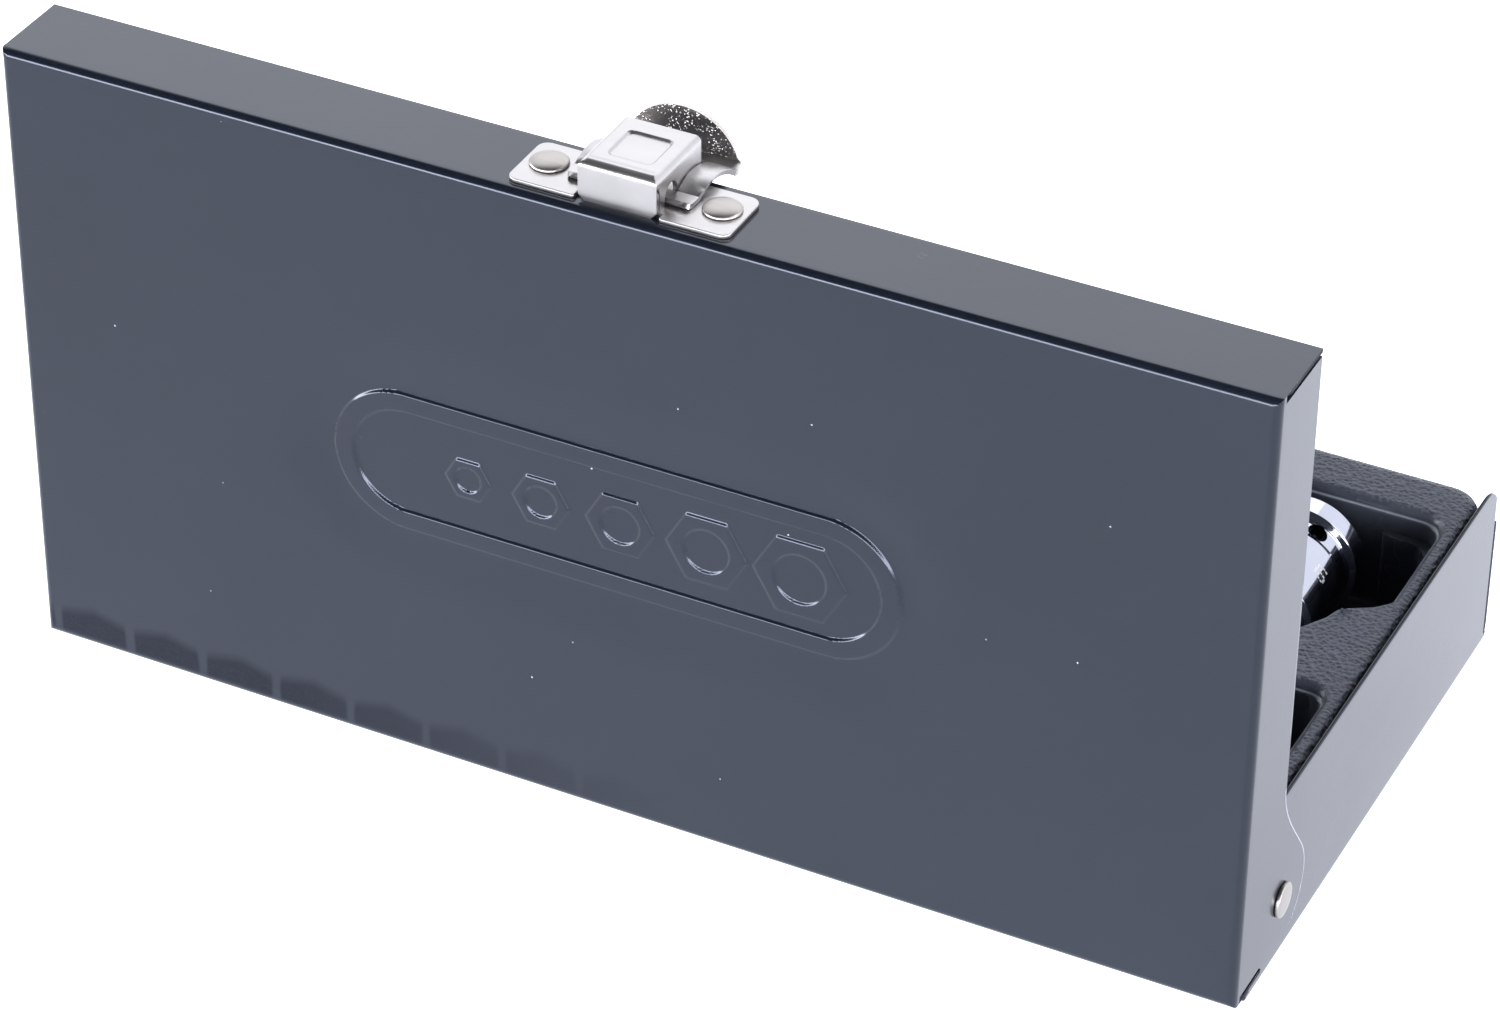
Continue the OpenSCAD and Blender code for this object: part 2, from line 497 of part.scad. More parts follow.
// Universal joint -----------------------------------------------------
ux = 41; uy = 24.4; uz = bar_z + 8.3;
module fork(flip) { // from the ears at the pivot (x = 0) towards -X; ears apart along Y
  difference() {
    union() {
      translate([-23.5, 0, 0]) rotate([0, 90, 0]) cylinder(h = 14, r = 8.2);
      intersection() {
        translate([-10, 0, 0]) rotate([0, 90, 0]) cylinder(h = 14.2, r = 8.2);
        union() {
          translate([-10, -9, -3.7]) cube([10, 18, 7.4]);
          rotate([-90, 0, 0]) translate([0, 0, -9]) cylinder(h = 18, r = 3.7);
        }
        union() { // the ears' free ends are turned to a ball about the pivot
          translate([-11, -9, -9]) cube([11, 18, 18]);
          sphere(r = 8.05);
        }
      }
    }
    translate([-9.5, -4.2, -9]) cube([20, 8.4, 18]);
    rotate([-90, 0, 0]) translate([0, 0, -10]) cylinder(h = 20, r = 1.5);
  }
}
module joint_socket_fork() {
  color(chrome) translate([ux, uy, uz]) difference() {
    fork();
    translate([-24.5, -drive_sq / 2 - 0.05, -drive_sq / 2 - 0.05]) cube([12.5, drive_sq + 0.1, drive_sq + 0.1]);
    translate([-24, 0, 0]) rotate([0, 90, 0]) rotate_extrude() polygon([[0, 0], [7.2, 0], [6.2, 1.3], [0, 1.3]]);
    difference() {
      translate([-24, -9, -9]) cube([1.4, 18, 18]);
      translate([-23.5, 0, 0]) rotate([0, 90, 0]) rotate_extrude() polygon([[0, -1], [7.3, -1], [7.3, 0], [8.2, 0.9], [8.2, 2], [0, 2]]);
    }
  }
}
module joint_long_pin() { color(nickel) translate([ux, uy - 7.9, uz]) rotate([-90, 0, 0]) cylinder(h = 15.8, r = 1.5); }
module joint_cross() {
  color(nickel) translate([ux, uy, uz]) difference() {
    intersection() { cube(8, center = true); sphere(r = 5.6, $fn = 48); }
    rotate([-90, 0, 0]) translate([0, 0, -9]) cylinder(h = 18, r = 1.55);
    translate([0, 0, -9]) cylinder(h = 18, r = 1.55);
  }
}
module joint_short_pins() {
  color(nickel) translate([ux, uy, uz]) for (s = [0, 1]) mirror([0, 0, s]) translate([0, 0, 1.9]) cylinder(h = 6.0, r = 1.5);
}
module joint_drive_fork() {
  color(chrome) translate([ux, uy, uz]) difference() {
    union() {
      rotate([90, 0, 0]) mirror([1, 0, 0]) difference() {
        fork();
        translate([-30, -10, -10]) cube([16, 20, 20]);
      }
      translate([13, 0, 0]) rotate([0, 90, 0]) rotate_extrude() polygon([[0, 0], [8.2, 0], [8.2, 0.8], [6.8, 2.2], [0, 2.2]]);
      translate([14, -drive_sq / 2, -drive_sq / 2]) cube([11.8, drive_sq, drive_sq]);
    }
    translate([20.5, -drive_sq / 2 + 4, 0]) rotate([90, 0, 0]) cylinder(h = 5, r = 1.65);
    difference() {
      translate([24, -8, -8]) cube([4, 16, 16]);
      translate([0, 0, 0]) rotate([0, 90, 0]) rotate_extrude() polygon([[0, 23.9], [7.5, 23.9], [5.6, 25.8], [5.6, 30], [0, 30]]);
    }
  }
}
module joint_ball() { color(nickel) translate([ux + 20.5, uy - drive_sq / 2 + 1.0, uz]) sphere(r = 1.6, $fn = 32); }

base_shell();
lid_shell();
hinge_rivets();
latch_plate();
latch_rivets();
latch_hood();
latch_lever();
latch_spring();
strike_plate();
strike_rivets();
tool_tray();
socket_16mm();
socket_15mm();
socket_14mm();
socket_13mm();
socket_12mm();
socket_11mm();
socket_10mm();
socket_9mm();
socket_8mm();
socket_7mm();
socket_6mm();
ratchet_body();
ratchet_cover();
cover_screws();
ratchet_gear();
ratchet_pawl();
reversing_lever();
drive_ball();
handle_grip();
extension_bar();
extension_ball();
joint_socket_fork();
joint_long_pin();
joint_cross();
joint_short_pins();
joint_drive_fork();
joint_ball();
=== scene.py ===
import math

import bpy
from mathutils import Matrix, Vector
from mathutils.geometry import delaunay_2d_cdt


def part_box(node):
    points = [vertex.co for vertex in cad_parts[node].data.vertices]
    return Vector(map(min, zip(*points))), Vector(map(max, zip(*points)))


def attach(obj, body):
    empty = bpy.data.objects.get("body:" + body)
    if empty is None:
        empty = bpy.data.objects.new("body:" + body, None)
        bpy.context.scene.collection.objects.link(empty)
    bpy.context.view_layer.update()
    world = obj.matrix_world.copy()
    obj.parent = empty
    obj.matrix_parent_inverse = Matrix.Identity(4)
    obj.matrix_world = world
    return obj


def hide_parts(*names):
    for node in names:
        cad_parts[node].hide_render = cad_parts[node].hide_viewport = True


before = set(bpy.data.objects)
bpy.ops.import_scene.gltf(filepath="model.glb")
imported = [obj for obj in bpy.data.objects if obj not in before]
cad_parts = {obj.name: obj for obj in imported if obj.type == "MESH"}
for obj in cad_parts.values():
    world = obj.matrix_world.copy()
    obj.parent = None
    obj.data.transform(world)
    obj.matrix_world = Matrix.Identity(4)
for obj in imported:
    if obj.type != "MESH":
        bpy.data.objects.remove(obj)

MM = 0.001
SCENE = bpy.context.scene
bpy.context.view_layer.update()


def mm_box(node):
    lo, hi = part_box(node)
    return [c / MM for c in lo], [c / MM for c in hi]


# ---------------------------------------------------------------- dimensions
base_lo, base_hi = mm_box("base_shell")
lid_lo, lid_hi = mm_box("lid_shell")
tray_lo, tray_hi = mm_box("tool_tray")
BX, BY, BH = base_hi[0], base_hi[1], base_hi[2]        # base half length, half depth, wall height
HX, LY, LT = lid_hi[0], lid_hi[1], lid_hi[2]           # lid half length, panel face, latch wall face
PY, PZ = BY - 8.0, 20.0                                # hinge axis
LZ = PZ - 11.0                                         # lid's hinge wall face
LR = LY - 18.5                                         # rim of the lid's walls
SH = 0.8                                               # sheet thickness
BEND = 1.6                                             # outer bend radius


# ---------------------------------------------------------------- small maths
def smooth(t):
    t = max(0.0, min(1.0, t))
    return t * t * (3 - 2 * t)


def lerp(a, b, t):
    return a + (b - a) * t


def frange(a, b, step):
    n = max(1, int(round(abs(b - a) / step)))
    return [a + (b - a) * i / n for i in range(n + 1)]


def merged(*lists, gap=1e-4):
    out = []
    for v in sorted(x for l in lists for x in l):
        if not out or v - out[-1] > gap:
            out.append(v)
    return out


# ---------------------------------------------------------------- mesh helpers
def new_object(name, verts, faces, mats=(), mat_index=None):
    """Makes an object from millimetre vertices; drops vertices no face uses."""
    used = sorted({i for f in faces for i in f})
    remap = {v: i for i, v in enumerate(used)}
    me = bpy.data.meshes.new(name)
    me.from_pydata([tuple(c * MM for c in verts[i]) for i in used], [], [[remap[i] for i in f] for f in faces])
    for m in mats:
        me.materials.append(m)
    if mat_index:
        me.polygons.foreach_set("material_index", mat_index)
    me.update()
    ob = bpy.data.objects.new(name, me)
    SCENE.collection.objects.link(ob)
    return ob


def settle(ob, angle=40, weighted=True):
    """Applies the modifiers, shades smooth with sharp edges over the angle."""
    dg = bpy.context.evaluated_depsgraph_get()
    me = bpy.data.meshes.new_from_object(ob.evaluated_get(dg), preserve_all_data_layers=True, depsgraph=dg)
    ob.modifiers.clear()
    old = ob.data
    ob.data = me
    bpy.data.meshes.remove(old)
    me.name = ob.name
    me.polygons.foreach_set("use_smooth", [True] * len(me.polygons))
    me.set_sharp_from_angle(angle=math.radians(angle))
    if weighted:
        m = ob.modifiers.new("weighted", "WEIGHTED_NORMAL")
        m.keep_sharp = True
        m.weight = 70
    return ob


def solidify(ob, t, offset=-1.0, rim=None):
    m = ob.modifiers.new("solid", "SOLIDIFY")
    m.thickness = t * MM
    m.offset = offset
    m.use_even_offset = True
    m.use_quality_normals = True
    if rim is not None:
        m.material_offset_rim = rim
    return m


def bevel(ob, w, seg=2, angle=45, material=-1):
    m = ob.modifiers.new("edge", "BEVEL")
    m.material = material
    m.width = w * MM
    m.segments = seg
    m.limit_method = "ANGLE"
    m.angle_limit = math.radians(angle)
    m.use_clamp_overlap = True
    m.miter_outer = "MITER_ARC"
    return m


def weld(ob, d=0.0005):
    m = ob.modifiers.new("weld", "WELD")
    m.merge_threshold = d * MM
    return m


def settle_normals(verts, faces, inside):
    """Turns a sheet's faces so that they look away from the given point."""
    a, b = Vector(verts[faces[0][0]]), Vector(verts[faces[0][1]])
    c = Vector(verts[faces[0][2]])
    n = (b - a).cross(c - b)
    if n.dot(a - Vector(inside)) < 0:
        faces = [f[::-1] for f in faces]
    return faces


def lathe(profile, n, place, closed_ends=True, twist=0.0):
    """Turns (radius, height) points about the local Z axis; place maps (x, y, z) to the frame. Starts and ends on the axis."""
    verts, faces = [], []
    rings = []
    for r, h in profile:
        if r < 1e-6:
            verts.append(place(0, 0, h))
            rings.append([len(verts) - 1])
        else:
            start = len(verts)
            for i in range(n):
                a = 2 * math.pi * i / n + twist
                verts.append(place(r * math.cos(a), r * math.sin(a), h))
            rings.append(list(range(start, start + n)))
    for A, B in zip(rings, rings[1:]):
        if len(A) == 1 and len(B) == 1:
            continue
        for i in range(n):
            j = (i + 1) % n
            if len(A) == 1:
                faces.append([A[0], B[i], B[j]])
            elif len(B) == 1:
                faces.append([A[i], A[j], B[0]][::-1])
            else:
                faces.append([A[i], B[i], B[j], A[j]])
    return verts, faces


def arc_points(cx, cy, r, a0, a1, n):
    return [(cx + r * math.cos(math.radians(lerp(a0, a1, i / n))), cy + r * math.sin(math.radians(lerp(a0, a1, i / n)))) for i in range(n + 1)]


def rounded(points, seg=6, step=None):
    """Closed polygon (x, y, corner radius) -> list of (x, y, nx, ny) with outward normals; points run anticlockwise."""
    n = len(points)
    out = []
    for i in range(n):
        x0, y0, _ = points[i - 1]
        x1, y1, r = points[i]
        x2, y2, _ = points[(i + 1) % n]
        a = Vector((x1 - x0, y1 - y0)).normalized()
        b = Vector((x2 - x1, y2 - y1)).normalized()
        turn = math.atan2(a.x * b.y - a.y * b.x, a.dot(b))
        t = abs(r * math.tan(turn / 2))
        p0 = Vector((x1, y1)) - a * t
        s = 1 if turn > 0 else -1
        c = p0 + Vector((-a.y, a.x)) * r * s
        k = max(2, int(round(seg * abs(turn) / (math.pi / 2))))
        for j in range(k + 1):
            th = turn * j / k
            d = Vector((a.y, -a.x))
            d = Vector((d.x * math.cos(th) - d.y * math.sin(th), d.x * math.sin(th) + d.y * math.cos(th)))
            p = c + d * r * s
            out.append((p.x, p.y, d.x, d.y))
    if step:
        dense = []
        m = len(out)
        for i in range(m):
            p, q = out[i], out[(i + 1) % m]
            dense.append(p)
            L = math.hypot(q[0] - p[0], q[1] - p[1])
            k = int(L / step)
            for j in range(1, k):
                f = j / k
                nx, ny = lerp(p[2], q[2], f), lerp(p[3], q[3], f)
                l = math.hypot(nx, ny)
                dense.append((lerp(p[0], q[0], f), lerp(p[1], q[1], f), nx / l, ny / l))
        out = dense
    return out


def folded(us, vs, R, nb, put, sides, slit, gap_t, relief=None):
    """Sheet folded from a flat panel: us, vs are the panel's grid lines, R the outer bend radius.
    sides maps "u0", "u1", "v0", "v1" to (rows(t), keep(i, k), over): rows gives the depths of a column at
    position t past the bend, keep says which cells stay, over says which wall covers the corner.
    slit, the depth where a corner's two walls would part, is not used; gap_t is how far the covered wall stays back."""
    verts, faces, index = [], [], {}

    def vid(key, u, v, w):
        if key not in index:
            index[key] = len(verts)
            verts.append(put(u, v, w))
        return index[key]

    nu, nv = len(us), len(vs)
    for i in range(nu):
        for j in range(nv):
            w = relief(us[i], vs[j]) if relief else 0.0
            vid(("p", i, j), us[i], vs[j], w)

    def add(ids):
        out = []
        for q in ids:
            if q not in out:
                out.append(q)
        if len(out) >= 3:
            faces.append(out)

    for i in range(nu - 1):
        for j in range(nv - 1):
            add([index["p", i, j], index["p", i + 1, j], index["p", i + 1, j + 1], index["p", i, j + 1]])

    bends = [(R * math.sin(math.pi / 2 * k / nb), R - R * math.cos(math.pi / 2 * k / nb)) for k in range(nb + 1)]
    f_mid = (R - gap_t) / R
    for side in ("v1", "v0", "u1", "u0"):
        if side not in sides:
            continue
        rows, keep, over = sides[side]
        along_u = side[0] == "v"
        s = 1 if side[1] == "1" else -1
        line = us if along_u else vs
        n = len(line)
        lo_side, hi_side = ("u0", "u1") if along_u else ("v0", "v1")
        cols = []
        if lo_side in sides:
            cols += [("c", 0)] + ([] if over else [("m", 0)])
        cols += [("l", i) for i in range(n)]
        if hi_side in sides:
            cols += ([] if over else [("m", 1)]) + [("c", 1)]
        edge = (vs[-1] if s > 0 else vs[0]) if along_u else (us[-1] if s > 0 else us[0])

        def point(col, k):
            kind, i = col
            if k <= nb:
                e, w = bends[k]
            else:
                e = R
                pos = line[i] if kind == "l" else (line[0] - R * (f_mid if kind == "m" else 1) if i == 0 else line[-1] + R * (f_mid if kind == "m" else 1))
                w = rows(pos)[k - nb - 1]
            if kind == "l":
                t = line[i]
            else:
                d = e * (f_mid if kind == "m" else 1)
                t = line[0] - d if i == 0 else line[-1] + d
            a, b = (t, edge + s * e) if along_u else (edge + s * e, t)
            if k == 0:
                if along_u:
                    ii = i if kind == "l" else (0 if i == 0 else n - 1)
                    return index["p", ii, nv - 1 if s > 0 else 0]
                jj = i if kind == "l" else (0 if i == 0 else n - 1)
                return index["p", nu - 1 if s > 0 else 0, jj]
            if kind == "c":
                cu = (1 if i else 0) if along_u else (1 if s > 0 else 0)
                cv = (1 if s > 0 else 0) if along_u else (1 if i else 0)
                if k <= nb + 1:
                    return vid(("corner", cu, cv, k), a, b, w)
                return vid(("corner", cu, cv, k, side), a, b, w)
            return vid((side, kind, i, k), a, b, w)

        nr = nb + 1 + len(rows(line[0]))
        for c in range(len(cols) - 1):
            A, B = cols[c], cols[c + 1]
            for k in range(nr - 1):
                if k > nb and not over and ("c" in (A[0], B[0])):
                    continue
                tA = line[A[1]] if A[0] == "l" else (line[0] if A[1] == 0 else line[-1])
                tB = line[B[1]] if B[0] == "l" else (line[0] if B[1] == 0 else line[-1])
                if k > nb and keep and not keep((tA + tB) / 2, k - nb - 1):
                    continue
                q = [point(A, k), point(B, k), point(B, k + 1), point(A, k + 1)]
                if (along_u and s < 0) or (not along_u and s > 0):
                    q = q[::-1]
                add(q)
    return verts, faces


# ---------------------------------------------------------------- materials
class Nodes:
    def __init__(self, name):
        self.mat = bpy.data.materials.new(name)
        self.mat.use_nodes = True
        self.t = self.mat.node_tree
        self.b = self.t.nodes["Principled BSDF"]
        self.pos = self.t.nodes.new("ShaderNodeTexCoord").outputs["Object"]

    def n(self, kind, **kw):
        node = self.t.nodes.new(kind)
        for k, v in kw.items():
            if k in node.inputs and not hasattr(node, k):
                node.inputs[k].default_value = v
            else:
                setattr(node, k, v)
        return node

    def link(self, a, b):
        self.t.links.new(a, b)
        return b

    def scaled(self, s, rot=(0, 0, 0)):
        m = self.n("ShaderNodeMapping")
        m.inputs["Scale"].default_value = s if hasattr(s, "__len__") else (s, s, s)
        m.inputs["Rotation"].default_value = rot
        self.link(self.pos, m.inputs["Vector"])
        return m.outputs[0]

    def noise(self, scale, detail=2.0, rough=0.5, distortion=0.0, vec=None):
        x = self.n("ShaderNodeTexNoise")
        x.inputs["Scale"].default_value = scale
        x.inputs["Detail"].default_value = detail
        x.inputs["Roughness"].default_value = rough
        x.inputs["Distortion"].default_value = distortion
        self.link(vec or self.pos, x.inputs["Vector"])
        return x.outputs["Fac"]

    def voronoi(self, scale, feature="F1", vec=None, randomness=1.0):
        x = self.n("ShaderNodeTexVoronoi")
        x.feature = feature
        x.inputs["Scale"].default_value = scale
        x.inputs["Randomness"].default_value = randomness
        self.link(vec or self.pos, x.inputs["Vector"])
        return x

    def ramp(self, fac, stops, interpolation="LINEAR"):
        r = self.n("ShaderNodeValToRGB")
        r.color_ramp.interpolation = interpolation
        el = r.color_ramp.elements
        while len(el) < len(stops):
            el.new(0.5)
        for e, (p, c) in zip(el, stops):
            e.position = p
            e.color = (*c, 1) if hasattr(c, "__len__") else (c, c, c, 1)
        self.link(fac, r.inputs[0])
        return r.outputs[0]

    def map(self, fac, a, b, c, d, clamp=True):
        m = self.n("ShaderNodeMapRange")
        m.clamp = clamp
        for i, v in zip((1, 2, 3, 4), (a, b, c, d)):
            m.inputs[i].default_value = v
        self.link(fac, m.inputs[0])
        return m.outputs[0]

    def math(self, op, a, b=None):
        m = self.n("ShaderNodeMath")
        m.operation = op
        for i, v in enumerate((a, b)):
            if v is None:
                continue
            if isinstance(v, (int, float)):
                m.inputs[i].default_value = v
            else:
                self.link(v, m.inputs[i])
        return m.outputs[0]

    def mix(self, fac, a, b):
        m = self.n("ShaderNodeMix")
        m.data_type = "RGBA"
        for i, v in ((0, fac), (6, a), (7, b)):
            if isinstance(v, (int, float)):
                m.inputs[i].default_value = v
            elif isinstance(v, tuple):
                m.inputs[i].default_value = (*v, 1)
            else:
                self.link(v, m.inputs[i])
        return m.outputs[2]

    def bump(self, height, strength, distance, normal=None):
        b = self.n("ShaderNodeBump")
        b.inputs["Strength"].default_value = strength
        b.inputs["Distance"].default_value = distance
        self.link(height, b.inputs["Height"])
        if normal is not None:
            self.link(normal, b.inputs["Normal"])
        return b.outputs[0]

    def set(self, name, v):
        if isinstance(v, (int, float)):
            self.b.inputs[name].default_value = v
        elif isinstance(v, tuple):
            self.b.inputs[name].default_value = (*v, 1) if len(v) == 3 else v
        else:
            self.link(v, self.b.inputs[name])


def painted_steel():
    m = Nodes("painted_steel")
    big = m.noise(9, 3, 0.55)
    col = m.mix(m.map(big, 0.3, 0.7, 0, 1), (0.0035, 0.0048, 0.0085), (0.005, 0.0066, 0.0115))
    fine = m.noise(1500, 2, 0.6)
    col = m.mix(m.map(fine, 0.35, 0.75, 0, 0.15), col, (0.022, 0.027, 0.040))
    # dust: in some cells one tiny light dot each, in others a short bent fibre
    specks = []
    for scale, size, share in ((95, 0.028, 0.80), (230, 0.05, 0.90)):
        v = m.voronoi(scale)
        dot = m.map(v.outputs["Distance"], size * 0.4, size, 1, 0)
        sep = m.n("ShaderNodeSeparateColor")
        m.link(v.outputs["Color"], sep.inputs[0])
        specks.append(m.math("MULTIPLY", dot, m.math("GREATER_THAN", sep.outputs[0], share)))
    v = m.voronoi(48)
    wob = m.noise(900, 1, 0.5, 2.0)
    near = m.map(v.outputs["Distance"], 0.04, 0.06, 1, 0)
    line = m.map(m.math("ABSOLUTE", m.math("SUBTRACT", wob, 0.5)), 0.0, 0.012, 1, 0)
    sep = m.n("ShaderNodeSeparateColor")
    m.link(v.outputs["Color"], sep.inputs[0])
    fibre = m.math("MULTIPLY", m.math("MULTIPLY", near, line), m.math("GREATER_THAN", sep.outputs[1], 0.72))
    speck = m.math("MAXIMUM", m.math("MAXIMUM", specks[0], specks[1]), fibre)
    col = m.mix(speck, col, (0.42, 0.44, 0.48))
    m.set("Base Color", col)
    smear = m.noise(22, 4, 0.6, 0.4)
    rough = m.map(smear, 0.3, 0.75, 0.14, 0.21)
    rough = m.math("ADD", rough, m.math("MULTIPLY", speck, 0.3))
    m.set("Roughness", rough)
    m.set("IOR", 1.5)
    # a row of faint blunt dark patches along the panel's hinge edge: painted reflection, set by darkening the specular
    # tint
    xyz = m.n("ShaderNodeSeparateXYZ")
    m.link(m.pos, xyz.inputs[0])
    px, py_, pz = xyz.outputs
    t = m.math("DIVIDE", m.math("SUBTRACT", 0.1222, px), 0.0164)
    f = m.math("ABSOLUTE", m.math("SUBTRACT", m.math("FRACT", t), 0.5))
    wob2 = m.math("MULTIPLY", m.noise(90, 2, 0.5), 0.08)
    inx = m.map(m.math("ADD", f, wob2), 0.465, 0.505, 1, 0)
    lo_ = m.map(pz, 0.0100, 0.0112, 0, 1)
    hi_ = m.map(m.math("ADD", pz, m.math("MULTIPLY", f, 0.004)), 0.0160, 0.0185, 1, 0)
    span = m.map(px, -0.012, 0.070, 0, 1)
    face = m.map(py_, 0.0742, 0.0746, 0, 1)
    reflection_mark = m.math("MULTIPLY", m.math("MULTIPLY", m.math("MULTIPLY", inx, lo_), m.math("MULTIPLY", hi_, span)), face)
    m.set("Specular IOR Level", 0.55)
    m.set("Specular Tint", (0.80, 0.855, 1.0))
    cloud = m.map(m.noise(30, 3, 0.6), 0.3, 0.7, 0.0, 0.05)
    # the specular tint darkens in the row of patches: painted dark reflection
    m.set("Specular Tint", m.mix(m.math("ADD", cloud, m.math("MULTIPLY", reflection_mark, 0.80)), (0.82, 0.875, 1.0), (0.10, 0.08, 0.10)))
    peel = m.noise(620, 2, 0.5)
    n1 = m.bump(peel, 0.10, 0.00010)
    n2 = m.bump(fine, 0.06, 0.00005, n1)
    m.set("Normal", n2)
    return m.mat


def steel_edge():
    # light paint for the bevelled edges: painted highlight along the edges
    m = Nodes("painted_edge_highlight")
    f = m.noise(700, 3, 0.6)
    m.set("Base Color", m.mix(m.map(f, 0.35, 0.7, 0, 1), (0.50, 0.51, 0.56), (0.74, 0.75, 0.80)))
    m.set("Roughness", m.map(f, 0.3, 0.7, 0.3, 0.45))
    m.set("Coat Weight", 0.4)
    m.set("Coat Roughness", 0.15)
    m.set("Normal", m.bump(f, 0.15, 0.00005))
    return m.mat


def paint_line():
    # light paint for a thin line: painted highlight
    m = Nodes("painted_highlight_line")
    f = m.noise(600, 3, 0.6)
    m.set("Base Color", m.mix(m.map(f, 0.35, 0.7, 0, 1), (0.26, 0.27, 0.31), (0.36, 0.37, 0.42)))
    m.set("Roughness", m.map(f, 0.3, 0.7, 0.35, 0.5))
    m.set("Normal", m.bump(f, 0.15, 0.00005))
    return m.mat


def dark_edge():
    m = Nodes("painted_cut_edge")
    f = m.noise(500, 3, 0.6)
    m.set("Base Color", m.mix(m.map(f, 0.35, 0.7, 0, 1), (0.006, 0.007, 0.010), (0.016, 0.018, 0.024)))
    m.set("Roughness", m.map(f, 0.3, 0.7, 0.55, 0.7))
    m.set("Specular IOR Level", 0.12)
    m.set("Normal", m.bump(f, 0.2, 0.00005))
    return m.mat


def metal(name, c1, c2, r0, r1, streak=0.0, pits_and_glints=0.0, bump=0.08, scale=900):
    m = Nodes(name)
    cloud = m.noise(60, 4, 0.6, 0.3)
    fine = m.noise(scale, 3, 0.6)
    col = m.mix(m.map(cloud, 0.3, 0.7, 0, 1), c1, c2)
    rough = m.map(cloud, 0.25, 0.75, r0, r1)
    nrm = m.bump(fine, bump, 0.00004)
    if streak:
        s = m.noise(400, 3, 0.7, 0.0, m.scaled((0.15, 3.2, 3.2), (0.2, 0.1, 0.3)))
        nrm = m.bump(s, streak, 0.00003, nrm)
        rough = m.math("ADD", rough, m.map(s, 0.4, 0.8, 0, 0.06))
    if pits_and_glints:
        v = m.voronoi(2000, vec=None)
        d = m.map(v.outputs["Distance"], 0.10, 0.36, 1, 0)
        patch = m.map(m.noise(260, 4, 0.65), 0.42, 0.56, 0, 1)
        p = m.math("MULTIPLY", d, patch)
        col = m.mix(m.math("MULTIPLY", p, pits_and_glints), col, (0.95, 0.93, 0.90))
        nrm = m.bump(p, 0.8 * pits_and_glints, 0.00012, nrm)
        rough = m.math("ADD", rough, m.math("MULTIPLY", p, 0.35))
        # the pits also glow faintly through emission: painted glints
        m.set("Emission Color", (0.9, 0.86, 0.82))
        m.set("Emission Strength", m.math("MULTIPLY", p, 0.30))
    m.set("Base Color", col)
    m.set("Metallic", 1.0)
    m.set("Roughness", rough)
    m.set("Normal", nrm)
    return m.mat


def tray_plastic():
    m = Nodes("tray_plastic")
    # moulded leather grain on the faces that look up; the drawn walls stay smooth and glossy
    geo = m.n("ShaderNodeNewGeometry")
    v1 = m.voronoi(1050, "SMOOTH_F1")
    v1.inputs["Smoothness"].default_value = 0.55
    v2 = m.noise(1500, 3, 0.6, 0.8)
    grain = m.math("ADD", m.math("MULTIPLY", v1.outputs["Distance"], 0.9), m.math("MULTIPLY", v2, 0.6))
    cloud = m.noise(40, 3, 0.5)
    att = m.n("ShaderNodeAttribute")
    att.attribute_name = "grain"
    mask = m.map(att.outputs["Fac"], 0.0, 1.0, 0.0, 1.0)
    bead_highlight = m.map(att.outputs["Fac"], -1.0, 0.0, 1.0, 0.0)
    # the land's colour follows the grain's height, lighter on the raised tops and darker in the hollows: painted
    # highlight and shade in the grain
    col = m.mix(m.map(grain, 0.25, 0.95, 0, 1), (0.011, 0.014, 0.025), (0.042, 0.050, 0.076))
    dark = m.mix(m.map(cloud, 0.3, 0.7, 0, 1), (0.040, 0.045, 0.057), (0.054, 0.060, 0.074))
    # the bead ring under each pocket's mouth is coloured light grey: painted highlight
    dark = m.mix(bead_highlight, dark, (0.30, 0.32, 0.37))
    m.set("Base Color", m.mix(mask, dark, col))
    m.set("Roughness", m.math("ADD", m.math("MULTIPLY", mask, 0.16), m.map(cloud, 0.3, 0.7, 0.24, 0.31)))
    m.set("Specular IOR Level", 0.48)
    h = m.math("MULTIPLY", grain, mask)
    n1 = m.bump(h, 1.0, 0.0007)
    n2 = m.bump(m.noise(350, 3, 0.6), 0.05, 0.0003, n1)
    m.set("Normal", n2)
    return m.mat


def rubber():
    m = Nodes("grip_rubber")
    f = m.noise(900, 3, 0.6)
    c = m.noise(60, 3, 0.5)
    m.set("Base Color", m.mix(m.map(c, 0.3, 0.7, 0, 1), (0.014, 0.014, 0.016), (0.024, 0.024, 0.027)))
    m.set("Roughness", m.map(f, 0.3, 0.7, 0.5, 0.62))
    m.set("Normal", m.bump(f, 0.25, 0.00015))
    return m.mat


PAINT = painted_steel()
EDGE_HIGHLIGHT = steel_edge()
CUT = dark_edge()
HIGHLIGHT_LINE = paint_line()
NICKEL = metal("nickel_plate", (0.385, 0.372, 0.366), (0.455, 0.440, 0.432), 0.26, 0.36, streak=0.05, bump=0.05)
NICKEL_WARM = metal("nickel_rivet", (0.33, 0.305, 0.285), (0.40, 0.375, 0.35), 0.30, 0.42, streak=0.05, bump=0.06)
SPRING_STEEL_AND_SHADE = metal("spring_steel_and_shade", (0.035, 0.034, 0.034), (0.055, 0.053, 0.052), 0.4, 0.5, bump=0.1)
NICKEL_SPECKS_AND_GLINTS = metal("nickel_specks_and_glints", (0.50, 0.455, 0.425), (0.62, 0.57, 0.53), 0.26, 0.36, pits_and_glints=1.0, bump=0.10)
CHROME = metal("chrome", (0.42, 0.43, 0.49), (0.48, 0.49, 0.55), 0.05, 0.10, streak=0.03, bump=0.02)
TOOL = metal("tool_steel", (0.22, 0.22, 0.23), (0.28, 0.275, 0.28), 0.22, 0.34, streak=0.15, bump=0.1)
MARK = metal("rolled_marks", (0.62, 0.62, 0.64), (0.70, 0.70, 0.72), 0.45, 0.6, bump=0.2)
TRAY = tray_plastic()
GRIP = rubber()


